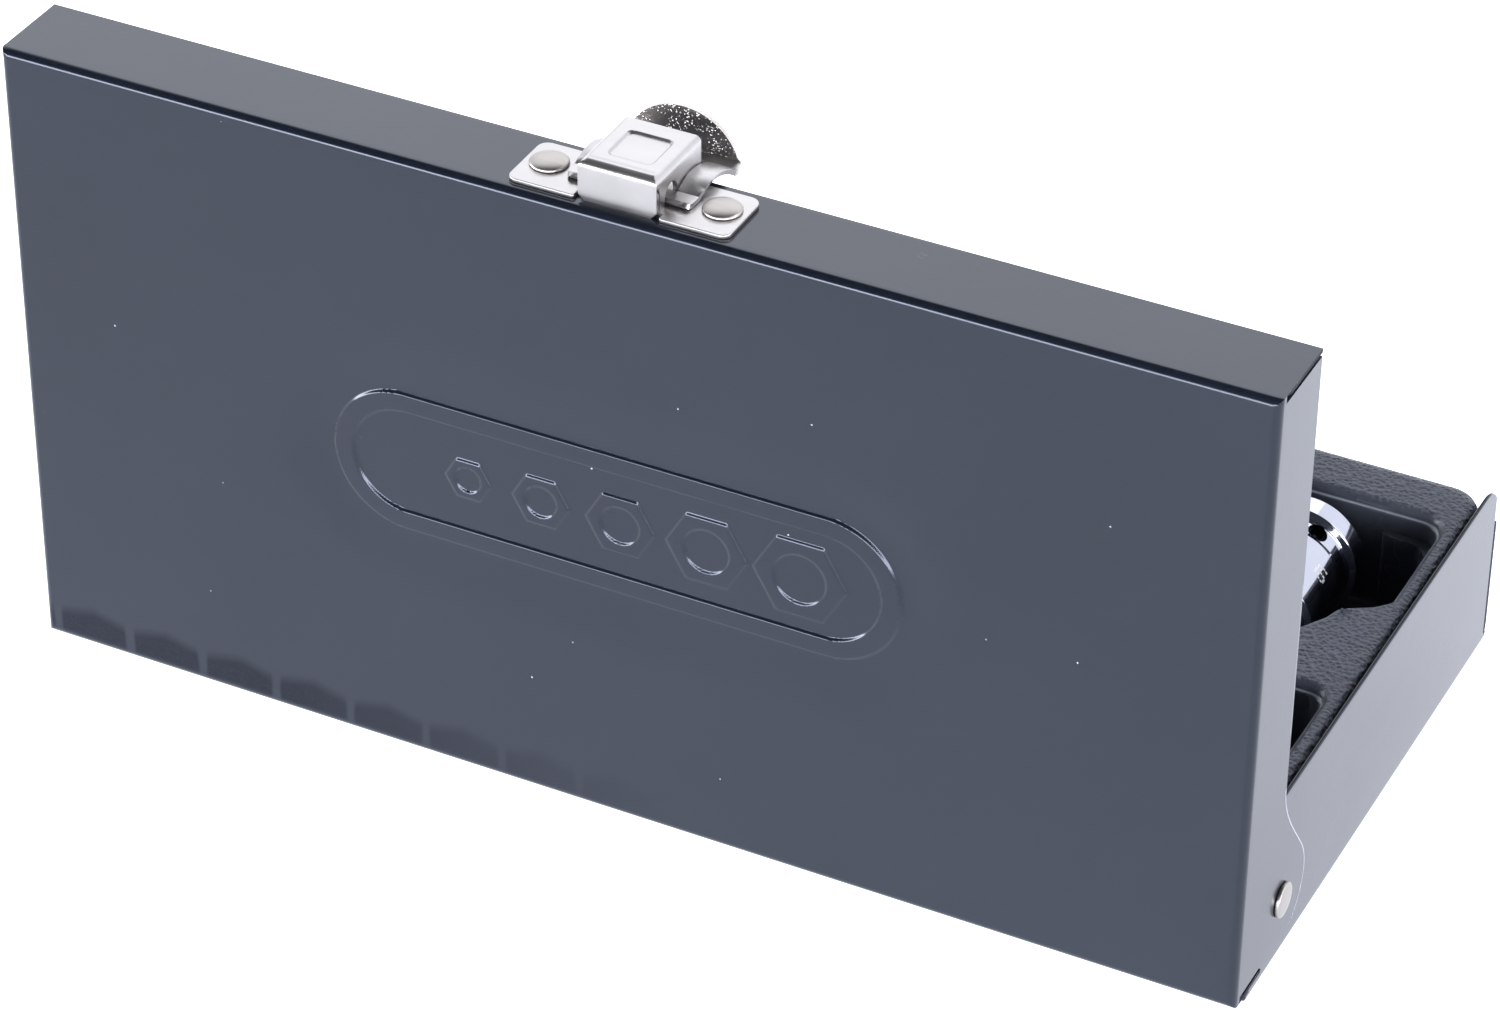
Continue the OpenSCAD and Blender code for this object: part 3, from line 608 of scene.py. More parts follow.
# ---------------------------------------------------------------- lid
def emblem_depth(x, z):
    """Depth below the lid panel: the sheet dips slightly round a long oval band; the field inside the band lies lower and carries raised graded hexagon rings."""
    zc = 75.0
    o = math.hypot(max(0.0, abs(x) - 42.5), abs(z - zc))
    d = o - 15.0
    if d > 13.0:
        return 0.0
    depth = 0.60 * smooth((d + 0.22) / 0.44) * (1 - smooth(d / 12.5))
    d2 = o - 11.0
    depth += 0.55 * smooth((0.22 - d2) / 0.44)
    # graded hexagon rings, raised from the field
    for i in range(5):
        cx = -37.5 + 19.2 * i - 0.6 * i * i
        R = 9.3 - 1.15 * i
        dx, dz = x - cx, z - zc
        rad = math.hypot(dx, dz)
        if rad > R + 1:
            continue
        hx_, hz_ = abs(dx), abs(dz)
        h = max(hz_ - R * 0.8660254, hx_ * 0.8660254 + hz_ * 0.5 - R * 0.8660254)
        ring = max(h, R * 0.56 - rad)
        depth -= 0.42 * smooth((0.2 - ring) / 0.4)
        break
    return depth


def ear_y(z):
    """Free edge of the lid's side wall at height z: the hinge ear round the pivot, run smoothly into the rim."""
    top, mid = 47.0, PZ + 6.263
    if z >= top:
        return LR
    if z > mid:
        # cubic from the circle's tangent to the rim
        t = (z - mid) / (top - mid)
        y0, s0 = PY - 9.286, 0.674 * (top - mid)
        y1, s1 = LR, 0.0
        return (2 * t ** 3 - 3 * t * t + 1) * y0 + (t ** 3 - 2 * t * t + t) * s0 + (-2 * t ** 3 + 3 * t * t) * y1 + (t ** 3 - t * t) * s1
    return PY - math.sqrt(max(0.0, 11.2 ** 2 - (z - PZ) ** 2))


def build_lid():
    us = merged(frange(-HX + BEND, -60, 4), frange(-60, 60, 0.27), frange(60, HX - BEND, 4))
    ears = [PZ + 11.2 * math.sin(math.radians(a)) for a in range(-56, 36, 6)]
    vs = merged([LZ + BEND], ears, frange(26.3, 47, 1.3), frange(47, 58.5, 3), frange(58.5, 91.5, 0.27), frange(91.5, LT - BEND, 4), gap=0.02)

    def put(u, v, w):
        return (u, LY - w, v)

    wall = [2.4, 4.5, 8, 12, 16, 17.8, 18.5]

    def top_rows(t):
        return wall

    def side_rows(t):
        d = LY - ear_y(max(LZ, min(LT, t)))
        return wall + [lerp(18.5, d, k / 5) for k in range(1, 6)]

    def side_keep(t, k):
        return k < 6 or t < 47

    def hinge_rows(t):
        return [2.4, 4.5, 8, 11.5, 12.3]

    sides = {
        "v1": (top_rows, None, True),
        "v0": (hinge_rows, None, True),
        "u0": (side_rows, side_keep, False),
        "u1": (side_rows, side_keep, False),
    }
    verts, faces = folded(us, vs, BEND, 9, put, sides, 2.4, 1.59, emblem_depth)
    # the side walls run down to the hinge wall's level where that wall has ended
    faces = settle_normals(verts, faces, (0, LR, 75))
    ob = new_object("lid_sheet", verts, faces, (PAINT, CUT, EDGE_HIGHLIGHT))
    solidify(ob, SH, -1, rim=1)
    # the bevels take the light edge paint: painted highlight
    bevel(ob, 0.27, 3, 50, material=2)
    settle(ob, 50)
    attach(ob, "lid")
    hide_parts("lid_shell")
    return ob


# ---------------------------------------------------------------- base
def build_base():
    us = frange(-BX + BEND, BX - BEND, 6)
    vs = merged(frange(-BY + BEND, -BY + 9, 0.8), frange(-BY + 9, BY - 7, 6), frange(BY - 7, BY - BEND, 0.7))

    def put(u, v, w):
        return (u, v, w)

    def top(t):
        h = BH
        a = -BY + 8 - t
        if a > 0:
            h = BH - 8 + math.sqrt(max(0.0, 64 - a * a))
        b = t - (BY - 5)
        if b > 0:
            h = BH - 5 + math.sqrt(max(0.0, 25 - b * b))
        return h

    fr = [0.0, 0.08, 0.3, 0.55, 0.8, 0.96, 1.0]

    def side_rows(t):
        return [2.4] + [lerp(2.4, top(t), f) for f in fr[1:]]

    def front_rows(t):
        return [2.4] + [lerp(2.4, 29.0, f) for f in fr[1:]]

    def rear_rows(t):
        return [2.4] + [lerp(2.4, 35.0, f) for f in fr[1:]]

    sides = {"v0": (front_rows, None, True), "v1": (rear_rows, None, True), "u0": (side_rows, None, False), "u1": (side_rows, None, False)}
    verts, faces = folded(us, vs, BEND, 6, put, sides, 2.4, 1.3)
    faces = settle_normals(verts, faces, (0, 0, 20))
    ob = new_object("base_sheet", verts, faces, (PAINT, CUT))
    solidify(ob, SH, -1, rim=1)
    bevel(ob, 0.27, 3, 50, material=0)
    settle(ob, 50)
    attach(ob, "base")
    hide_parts("base_shell")
    return ob


def build_ear_edges():
    """A thin strip of light paint along the free edge of each hinge ear: painted highlight."""
    zs = [PZ + 11.2 * math.sin(math.radians(a)) for a in range(-56, 34, 2)] + frange(PZ + 6.4, 47, 0.5)
    zs = sorted(set(round(z, 3) for z in zs))
    zs = [z for i, z in enumerate(zs) if i == 0 or z - zs[i - 1] > 0.05]
    verts, faces = [], []
    for s in (-1, 1):
        base = len(verts)
        for z in zs:
            # step in from the edge, square to it
            e = 0.05
            slope = (ear_y(z + e) - ear_y(z - e)) / (2 * e)
            l = math.hypot(1.0, slope)
            ny, nz = 1.0 / l, -slope / l
            y = ear_y(z)
            for inset, x in ((0.24, HX - 0.05), (0.24, HX + 0.03), (0.29, HX + 0.05), (0.43, HX + 0.05), (0.48, HX + 0.03), (0.48, HX - 0.05)):
                verts.append((s * x, y + ny * inset, z + nz * inset))
        m = len(zs)
        for i in range(m - 1):
            for k in range(6):
                a, b = base + i * 6 + k, base + i * 6 + (k + 1) % 6
                faces.append([a, b, b + 6, a + 6])
        faces.append([base + k for k in range(6)])
        faces.append([base + (m - 1) * 6 + k for k in range(6)][::-1])
    ob = orient(new_object("ear_edge_highlight", verts, faces, (HIGHLIGHT_LINE,)))
    settle(ob, 50)
    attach(ob, "lid")


build_lid()
build_base()


# ---------------------------------------------------------------- latch
def latch_point(x, r, q):
    return (x, LY - r, LT + q)


def prism(outline, q0, q1, place, mats=(), name="prism"):
    """Closed prism over an outline of (x, y) points, each ring shared by the caps and the wall."""
    n = len(outline)
    verts = [place(x, y, q0) for x, y in outline] + [place(x, y, q1) for x, y in outline]
    faces = [list(range(n))[::-1], list(range(n, 2 * n))]
    faces += [[i, (i + 1) % n, n + (i + 1) % n, n + i] for i in range(n)]
    return new_object(name, verts, faces, mats)


def orient(ob):
    """Makes the object's face normals agree and look outwards."""
    import bmesh
    bm = bmesh.new()
    bm.from_mesh(ob.data)
    bmesh.ops.recalc_face_normals(bm, faces=bm.faces)
    bm.to_mesh(ob.data)
    bm.free()
    return ob


build_ear_edges()


def build_latch_plate():
    pts = [(-21.75, 2.4, 1.9), (-8.3, 2.4, 0.5), (-8.3, 4.4, 0.4), (8.3, 4.4, 0.4), (8.3, 2.4, 0.5), (21.75, 2.4, 1.9), (21.75, 16.2, 2.2), (-21.75, 16.2, 2.2)]
    outline = [(p[0], p[1]) for p in rounded(pts, 8)]
    ob = orient(prism(outline, 0.0, 0.9, latch_point, (NICKEL,), "latch_base_plate"))
    bevel(ob, 0.22, 3, 40)
    settle(ob, 35)
    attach(ob, "lid")
    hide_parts("latch_plate")


def build_latch_rivets():
    prof = [(0, -1.6), (2.5, -1.6), (2.85, -1.35), (2.9, -0.8), (1.9, -0.8), (1.9, 0.9), (3.35, 0.9), (3.55, 0.98), (3.64, 1.12), (3.62, 1.28), (3.5, 1.44)]
    prof += [(3.5 * math.cos(t), 1.44 + 0.62 * math.sin(t) ** 1.15) for t in [math.pi / 2 * i / 10 for i in range(1, 10)]] + [(0, 2.06)]
    verts, faces = [], []
    for s in (-1, 1):
        v, f = lathe(prof, 56, lambda x, y, h: latch_point(s * 17 + x, 9.9 + y, h))
        faces += [[i + len(verts) for i in q] for q in f]
        verts += v
    ob = orient(new_object("latch_plate_rivets", verts, faces, (NICKEL_WARM,)))
    settle(ob, 40)
    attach(ob, "lid")
    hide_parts("latch_rivets")


def build_hood():
    H, W, R, T = 8.0, 7.7, 1.2, 0.9
    us = frange(-W + R, W - R, 0.24)
    notch = [8.5 + 2.4 * math.cos(math.radians(a)) for a in range(0, 181, 12)]
    vs = merged(frange(3.0 + R, 6.1, 0.25), notch, frange(6.1, 20, 0.25), gap=0.05)

    def put(u, v, w):
        return latch_point(u, v, H - 0.21 - w)

    def relief(u, v):
        dx, dy = abs(u) - 3.3, abs(v - 11.9) - 3.3
        d = math.hypot(max(dx, 0), max(dy, 0)) + min(max(dx, dy), 0) - 1.0
        w = 0.42 * smooth((0.16 - d) / 0.36)
        # rolled bead along the front edge
        w -= 0.20 * math.exp(-((v - 4.6) / 0.9) ** 2)
        return w

    def front_rows(t):
        a = abs(t) - (W - 1.3)
        D = 7.9 - (1.3 - math.sqrt(max(0.0, 1.3 ** 2 - a * a)) if a > 0 else 0.0)
        return [1.9] + [lerp(1.9, D, f) for f in (0.25, 0.55, 0.8, 0.95, 1.0)]

    def inside(t):
        return 6.1 + 1e-6 < t < 10.9 - 1e-6

    def side_rows(t):
        top = 5.5
        if inside(t):
            top = 5.5 - math.sqrt(max(0.0, 2.4 ** 2 - (t - 8.5) ** 2))
        return [1.9] + [lerp(1.9, top, f) for f in (0.3, 0.65, 1.0)] + [lerp(5.5, 6.95, f) if not inside(t) else lerp(top, 6.95, f) for f in (0.5, 1.0)]

    def side_keep(t, k):
        return k < 3 or not inside(t)

    sides = {"v0": (front_rows, None, True), "u0": (side_rows, side_keep, False), "u1": (side_rows, side_keep, False)}
    verts, faces = folded(us, vs, R, 6, put, sides, 1.9, 1.19, relief)
    faces = settle_normals(verts, faces, latch_point(0, 12, 0))
    ob = new_object("latch_cover", verts, faces, (NICKEL, SPRING_STEEL_AND_SHADE))
    # the hood's inner shell takes the dark steel material: painted shade inside the hood
    solidify(ob, T, -1).material_offset = 1
    bevel(ob, 0.16, 3, 50)
    settle(ob, 45)
    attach(ob, "lid")
    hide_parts("latch_hood")


def build_lever():
    def arch(r):
        return 2.35 - (0.051 if r < 15.6 else 0.045) * (r - 15.6) ** 2 + 0.475

    rows = []                                   # (r, q, inner half width, outer half width, centre kept after this row)
    for a in range(200, -1, -25):               # rolled edge that it turns on; the next line empties the list again, so it is not built
        rows.append((7.2 + 0.35 * math.cos(math.radians(a + 70)), 1.9 + 0.35 * math.sin(math.radians(a + 70)), 8.0, 11.9 if a > 60 else 12.05, True))
    rows = rows[:0]
    rows += [(6.85, 2.05, 8, 11.0, True), (6.95, 1.75, 8, 11.5, True), (7.25, 1.55, 8, 11.9, True), (7.8, 1.5, 8, 12.15, True), (8.6, 1.5, 8, 12.2, True), (9.5, 1.5, 8, 12.2, True)]
    rows += [(10.45, lerp(1.5, arch(10.45), 0.5), 8, 12.2, True), (10.5, lerp(1.52, arch(10.5), 0.55), 8, 12.2, False)]
    for i in range(1, 25):
        r = 10.5 + (24.6 - 10.5) * i / 24
        rows.append((r, arch(r), 8, 12.2, False))
    rows += [(25.2, arch(24.9) - 0.12, 8, 12.2, True), (25.25, arch(24.9) - 0.14, 8, 12.2, True), (26.0, -1.22, 8, 12.2, True), (27.0, -1.24, 8, 11.9, True), (27.8, -1.16, 8, 11.6, True),
             (28.15, -0.95, 8, 11.4, True), (28.33, -0.6, 8, 11.2, True)]
    tab = len(rows)
    for i in range(0, 24):
        q = -0.2 + (7.6 + 0.2) * math.sin(math.pi / 2 * i / 23)
        xo = math.sqrt(max(0.0004, 11.5 ** 2 - (q + 3.9) ** 2))
        rows.append((28.35, q, 0.66 * xo, xo, True))
    verts, faces, mats = [], [], []
    frac = [-1, -0.9, -0.72, -0.5, -0.25, 0]     # across an arm: outer edge to inner edge
    grid = []
    for r, q, xi, xo, keep in rows:
        xs = [-(xi + (xo - xi) * -f) for f in frac] + [xi * c for c in (-0.75, -0.5, -0.25, 0, 0.25, 0.5, 0.75)] + [(xi + (xo - xi) * -f) for f in frac[::-1]]
        line = []
        for x in xs:
            line.append(len(verts))
            # the arms' outer edges roll down a little
            e = max(0.0, (abs(x) - 10.2) / 2.0) if 12 < r < 25 else 0.0
            verts.append(latch_point(x, r, q - 0.35 * e * e))
        grid.append(line)
    for k in range(len(rows) - 1):
        for c in range(len(grid[0]) - 1):
            centre = 5 <= c < len(grid[0]) - 6
            if centre and not (rows[k][4] and rows[k + 1][4]) and not (rows[k][4] and k < 8):
                continue
            faces.append([grid[k][c], grid[k][c + 1], grid[k + 1][c + 1], grid[k + 1][c]])
            mats.append(1 if k >= tab - 1 else 0)
    ob = new_object("latch_bail", verts, faces, (NICKEL, NICKEL_SPECKS_AND_GLINTS), mats)
    ob = orient(ob)
    solidify(ob, 0.92, 0)
    bevel(ob, 0.2, 3, 50)
    settle(ob, 40)
    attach(ob, "latch_lever")
    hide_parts("latch_lever")


def build_hinge_rivets():
    prof = [(0, BX - SH - 1), (2.5, BX - SH - 1), (2.9, BX - SH - 0.7), (3, BX - SH), (2.0, BX - SH), (2.0, BX), (3.4, BX), (3.4, HX - SH - 0.06), (2.0, HX - SH - 0.06),
            (2.0, HX + 0.06), (3.3, HX + 0.06), (3.45, HX + 0.16), (3.48, HX + 0.32), (3.45, HX + 0.62), (3.34, HX + 0.78), (3.1, HX + 0.86), (2.2, HX + 0.93), (1.1, HX + 0.965), (0, HX + 0.975)]
    verts, faces = [], []
    for s in (-1, 1):
        v, f = lathe(prof, 64, lambda x, y, h: (s * h, PY + x, PZ + y))
        faces += [[i + len(verts) for i in q] for q in f]
        verts += v
    ob = orient(new_object("hinge_rivet_pair", verts, faces, (NICKEL_WARM,)))
    settle(ob, 38)
    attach(ob, "base")
    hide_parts("hinge_rivets")


build_latch_plate()
build_latch_rivets()
build_hood()
build_lever()
build_hinge_rivets()


# ---------------------------------------------------------------- tray
TX, TY0, TY1, TZ = BX - SH - 0.15, -BY + SH + 1.9, BY - SH - 1.4, tray_hi[2]
ROW_Z, BAR_Z = 15.3, 12.0                                 # floors of the two pockets


def fill_between(outer, holes, steiner=()):
    """Triangles of the flat region inside outer and outside the holes, as (points, faces)."""
    pts = [Vector(p) for p in outer]
    edges = [(i, (i + 1) % len(outer)) for i in range(len(outer))]
    for h in holes:
        o = len(pts)
        pts += [Vector(p) for p in h]
        edges += [(o + i, o + (i + 1) % len(h)) for i in range(len(h))]
    pts += [Vector(p) for p in steiner]
    out, _, tris, orig, _, _ = delaunay_2d_cdt(pts, edges, [], 1, 1e-6)

    def inside(p, poly):
        c = False
        n = len(poly)
        for i in range(n):
            x1, y1 = poly[i]
            x2, y2 = poly[(i + 1) % n]
            if (y1 > p[1]) != (y2 > p[1]) and p[0] < (x2 - x1) * (p[1] - y1) / (y2 - y1) + x1:
                c = not c
        return c

    keep = []
    for t in tris:
        c = ((out[t[0]][0] + out[t[1]][0] + out[t[2]][0]) / 3, (out[t[0]][1] + out[t[1]][1] + out[t[2]][1]) / 3)
        if inside(c, outer) and not any(inside(c, h) for h in holes):
            keep.append(list(t))
    return out, orig, keep


def build_tray():
    verts, faces, grain = [], [], []

    def ring(outline, d, z, g):
        start = len(verts)
        for x, y, nx, ny in outline:
            verts.append((x + nx * d, y + ny * d, z(x, y) if callable(z) else z))
            grain.append(g)
        return list(range(start, len(verts)))

    def strip(A, B):
        n = len(A)
        for i in range(n):
            j = (i + 1) % n
            faces.append([A[i], A[j], B[j], B[i]])

    def cap(outer_ids, hole_ids, steiner, z, g):
        outer = [verts[i][:2] for i in outer_ids]
        holes = [[verts[i][:2] for i in h] for h in hole_ids]
        pts, orig, tris = fill_between(outer, holes, steiner)
        ids = outer_ids + [i for h in hole_ids for i in h]
        table = []
        for p, o in zip(pts, orig):
            o = [k for k in o if k < len(ids)]
            if o:
                table.append(ids[o[0]])
            else:
                table.append(len(verts))
                verts.append((p[0], p[1], z(p[0], p[1])))
                grain.append(g)
        for t in tris:
            q = [table[k] for k in t]
            if len(set(q)) == 3:
                faces.append(q)

    # land: the flat top round the two pockets, whose outlines follow
    row = rounded([(-117.3, -45.0, 4.6), (112.6, -45.0, 3.5), (116, -41.6, 3.0), (116, 1.6, 3.0), (-102.6, 1.6, 1.6), (-105.2, -2.4, 2.6), (-107.6, -6.2, 3.4), (-108.7, -9.6, 2.0), (-110.6, -11.2, 2.6), (-114.6, -13.6, 4.0), (-117.3, -16.6, 1.6)], 7, 1.6)
    bar = rounded([(-117, 15.8, 3.4), (36, 15.8, 1.6), (36, 6.6, 3.2), (72, 6.6, 3.2), (72, 15.8, 1.6), (116, 15.8, 3.4), (116, 56.6, 3.4), (-117, 56.6, 3.4)], 7, 2.0)
    well = [(99 + 9 * math.cos(2 * math.pi * i / 48), 41.5 + 9 * math.sin(2 * math.pi * i / 48), math.cos(2 * math.pi * i / 48), math.sin(2 * math.pi * i / 48)) for i in range(48)]
    rim = rounded([(-TX, TY0, 7.0), (TX, TY0, 7.0), (TX, TY1, 5.0), (-TX, TY1, 5.0)], 10, 2.0)

    def rim_pull(x, y):
        """How far the front of the tray slopes in at the top."""
        return smooth((-52.0 - y) / 7.0)

    # outer skirt, from the foot up over a broad round shoulder to the land
    skirt = []
    for z, d, dy in ((0.9, 0.0, 0.0), (6, -0.02, 0.0), (14, -0.04, 0.0), (22, -0.08, 0.05), (29, -0.12, 0.2), (32, -0.18, 0.3), (34.6, -0.3, 0.4), (36.2, -0.55, 0.6), (37.2, -1.0, 0.85), (37.9, -1.6, 1.25), (TZ - 0.14, -2.3, 1.5), (TZ, -3.2, 1.5)):
        start = len(verts)
        pull = 1.5 * smooth((29.0 - z) / 3.0)          # below the rim the tray keeps clear of the hinge rivets
        for x, y, nx, ny in rim:
            f = rim_pull(x, y)
            k = d if z < 36 else d * 0.55 if abs(nx) > 0.5 and f < 0.2 else d
            verts.append((x + nx * (k - pull * abs(nx)), y + ny * k + f * dy, z))
            grain.append(1.0 if z > 30 else 0.4)
        skirt.append(list(range(start, len(verts))))
    for A, B in zip(skirt, skirt[1:]):
        strip(A, B)

    def pocket(outline, floor, rr, fr, draft, top, holes=(), floor_z=None, step=4.0, shelf=None):
        rings = []
        for k in range(7):                       # rounded rim
            t = math.pi / 2 * k / 6
            rings.append(ring(outline, 0.55 + rr * (1 - math.sin(t)), top - rr * (1 - math.cos(t)), 1.0 - 0.9 * smooth(k / 4.0)))
        # narrow drawn bead just under the mouth
        for dd, dz in ((0.5, 0.25), (0.25, 0.5), (-0.02, 0.62), (-0.12, 0.85), (-0.05, 1.15)):
            # its middle ring carries -1 in the grain attribute, which the tray material turns into a light line:
            # painted highlight
            rings.append(ring(outline, dd, top - rr - dz, -1.0 if dd == 0.25 else 0.0))
        rr += 1.3
        for f in (0.33, 0.66, 1.0):
            rings.append(ring(outline, -draft * f, lerp(top - rr, floor + fr, f), 0.1))
        for k in range(1, 5):
            t = math.pi / 2 * k / 4
            rings.append(ring(outline, -draft - fr * (1 - math.cos(t)), floor + fr * (1 - math.sin(t)), 0.1))
        for A, B in zip(rings, rings[1:]):
            strip(B, A)
        return rings

    P1 = pocket(row, ROW_Z, 1.5, 1.5, 0.9, TZ)
    P2 = pocket(bar, BAR_Z, 1.5, 0.9, 0.15, TZ)

    def land(x, y):
        return TZ

    grid = [(x, y) for x in frange(-110, 110, 9) for y in (4.2, 9.0, 12.6, -46.0)]
    cap(skirt[-1], [P1[0], P2[0]], [], land, 1.0)

    # pocket floors: the socket row's floor rises in low ribs between the sockets
    radii = [12.0, 10.5, 10.0, 9.4, 8.8, 8.5, 8.5, 8.5, 8.5, 8.5, 8.5]
    centres = [-92.0]
    for a, b in zip(radii, radii[1:]):
        centres.append(centres[-1] + a + b + 1.5)
    ribs = [c + r + 0.75 for c, r in zip(centres, radii)][:10]

    def row_floor(x, y):
        z = ROW_Z
        for rx in ribs:
            a = abs(x - rx)
            if a < 2.2:
                z += 3.0 * smooth((2.2 - a) / 1.9) * smooth((y + 31.2) / 1.6) * smooth((-12.8 - y) / 1.6)
        return z

    pts = []
    for rx in ribs:
        for dx in (-2.3, -1.8, -1.35, -0.9, -0.45, 0, 0.45, 0.9, 1.35, 1.8, 2.3):
            for y in (-32, -31.2, -30.8, -30.4, -30, -29.4, -26, -22, -18, -14.8, -14.3, -13.9, -13.4, -12.8, -12):
                pts.append((rx + dx, y))
    cap(P1[-1], [], pts, row_floor, 0.1)
    # well under the ratchet head
    W = [ring(well, 0.6, 12.0, 0.1), ring(well, 0.15, 11.8, 0.1), ring(well, 0, 11.3, 0.1), ring(well, -0.05, 6, 0.1), ring(well, -0.1, 3.2, 0.1), ring(well, -0.5, 2.5, 0.1), ring(well, -1.2, 2.25, 0.1)]
    for A, B in zip(W, W[1:]):
        strip(B, A)
    cap(P2[-1], [W[0]], [], lambda x, y: 12.0, 0.1)
    cap(W[-1], [], [(99, 41.5)], lambda x, y: 2.25, 0.1)
    faces_ = settle_normals(verts, faces, (0, 0, -400))
    ob = new_object("moulded_tray", verts, faces_, (TRAY,))
    # keep the grain weight with the vertices (new_object drops only unused ones)
    used = sorted({i for f in faces_ for i in f})
    att = ob.data.attributes.new("grain", "FLOAT", "POINT")
    att.data.foreach_set("value", [grain[i] for i in used])
    orient(ob)
    solidify(ob, 0.8, -1).use_even_offset = False
    settle(ob, 60, weighted=False)
    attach(ob, "base")
    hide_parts("tool_tray")
    return ob


build_tray()


def build_tray_foot():
    """The low block moulded into the socket pocket's corner."""
    outline = [(p[0], p[1]) for p in rounded([(-114.6, -44.6, 1.6), (-105.4, -44.9, 0.3), (-105.4, -43.0, 1.2), (-113.4, -42.6, 2.0), (-116.4, -38.5, 1.0), (-117.0, -38.5, 0.2), (-117.0, -43.4, 0.6)], 6)]
    ob = orient(prism(outline, ROW_Z - 0.4, 32.6, lambda x, y, h: (x, y, h), (TRAY,), "tray_corner_foot"))
    bevel(ob, 0.8, 4, 40)
    settle(ob, 50)
    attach(ob, "base")


build_tray_foot()


# ---------------------------------------------------------------- sockets
SOCKETS = [(16, 12.0, 11.1, 25), (15, 10.5, 10.4, 0), (14, 10.0, 9.8, 20), (13, 9.4, 9.2, -15), (12, 8.8, 8.7, 8), (11, 8.5, 8.1, 30),
           (10, 8.5, 7.5, -25), (9, 8.5, 6.9, 12), (8, 8.5, 6.2, -8), (7, 8.5, 5.6, 25), (6, 8.5, 5.0, 0)]
SEGMENTS = {  # bars of a seven-bar figure: two ends each, on a 2 x 4 grid
    "a": ((0, 4), (2, 4)), "b": ((2, 4), (2, 2)), "c": ((2, 2), (2, 0)), "d": ((0, 0), (2, 0)), "e": ((0, 2), (0, 0)), "f": ((0, 4), (0, 2)), "g": ((0, 2), (2, 2)),
}
FIGURES = ["abcdef", "bc", "abdeg", "abcdg", "bcfg", "acdfg", "acdefg", "abc", "abcdefg", "abcdfg"]


def regular(n, r, twist=0.0):
    return [(r * math.cos(2 * math.pi * i / n + twist), r * math.sin(2 * math.pi * i / n + twist)) for i in range(n)]


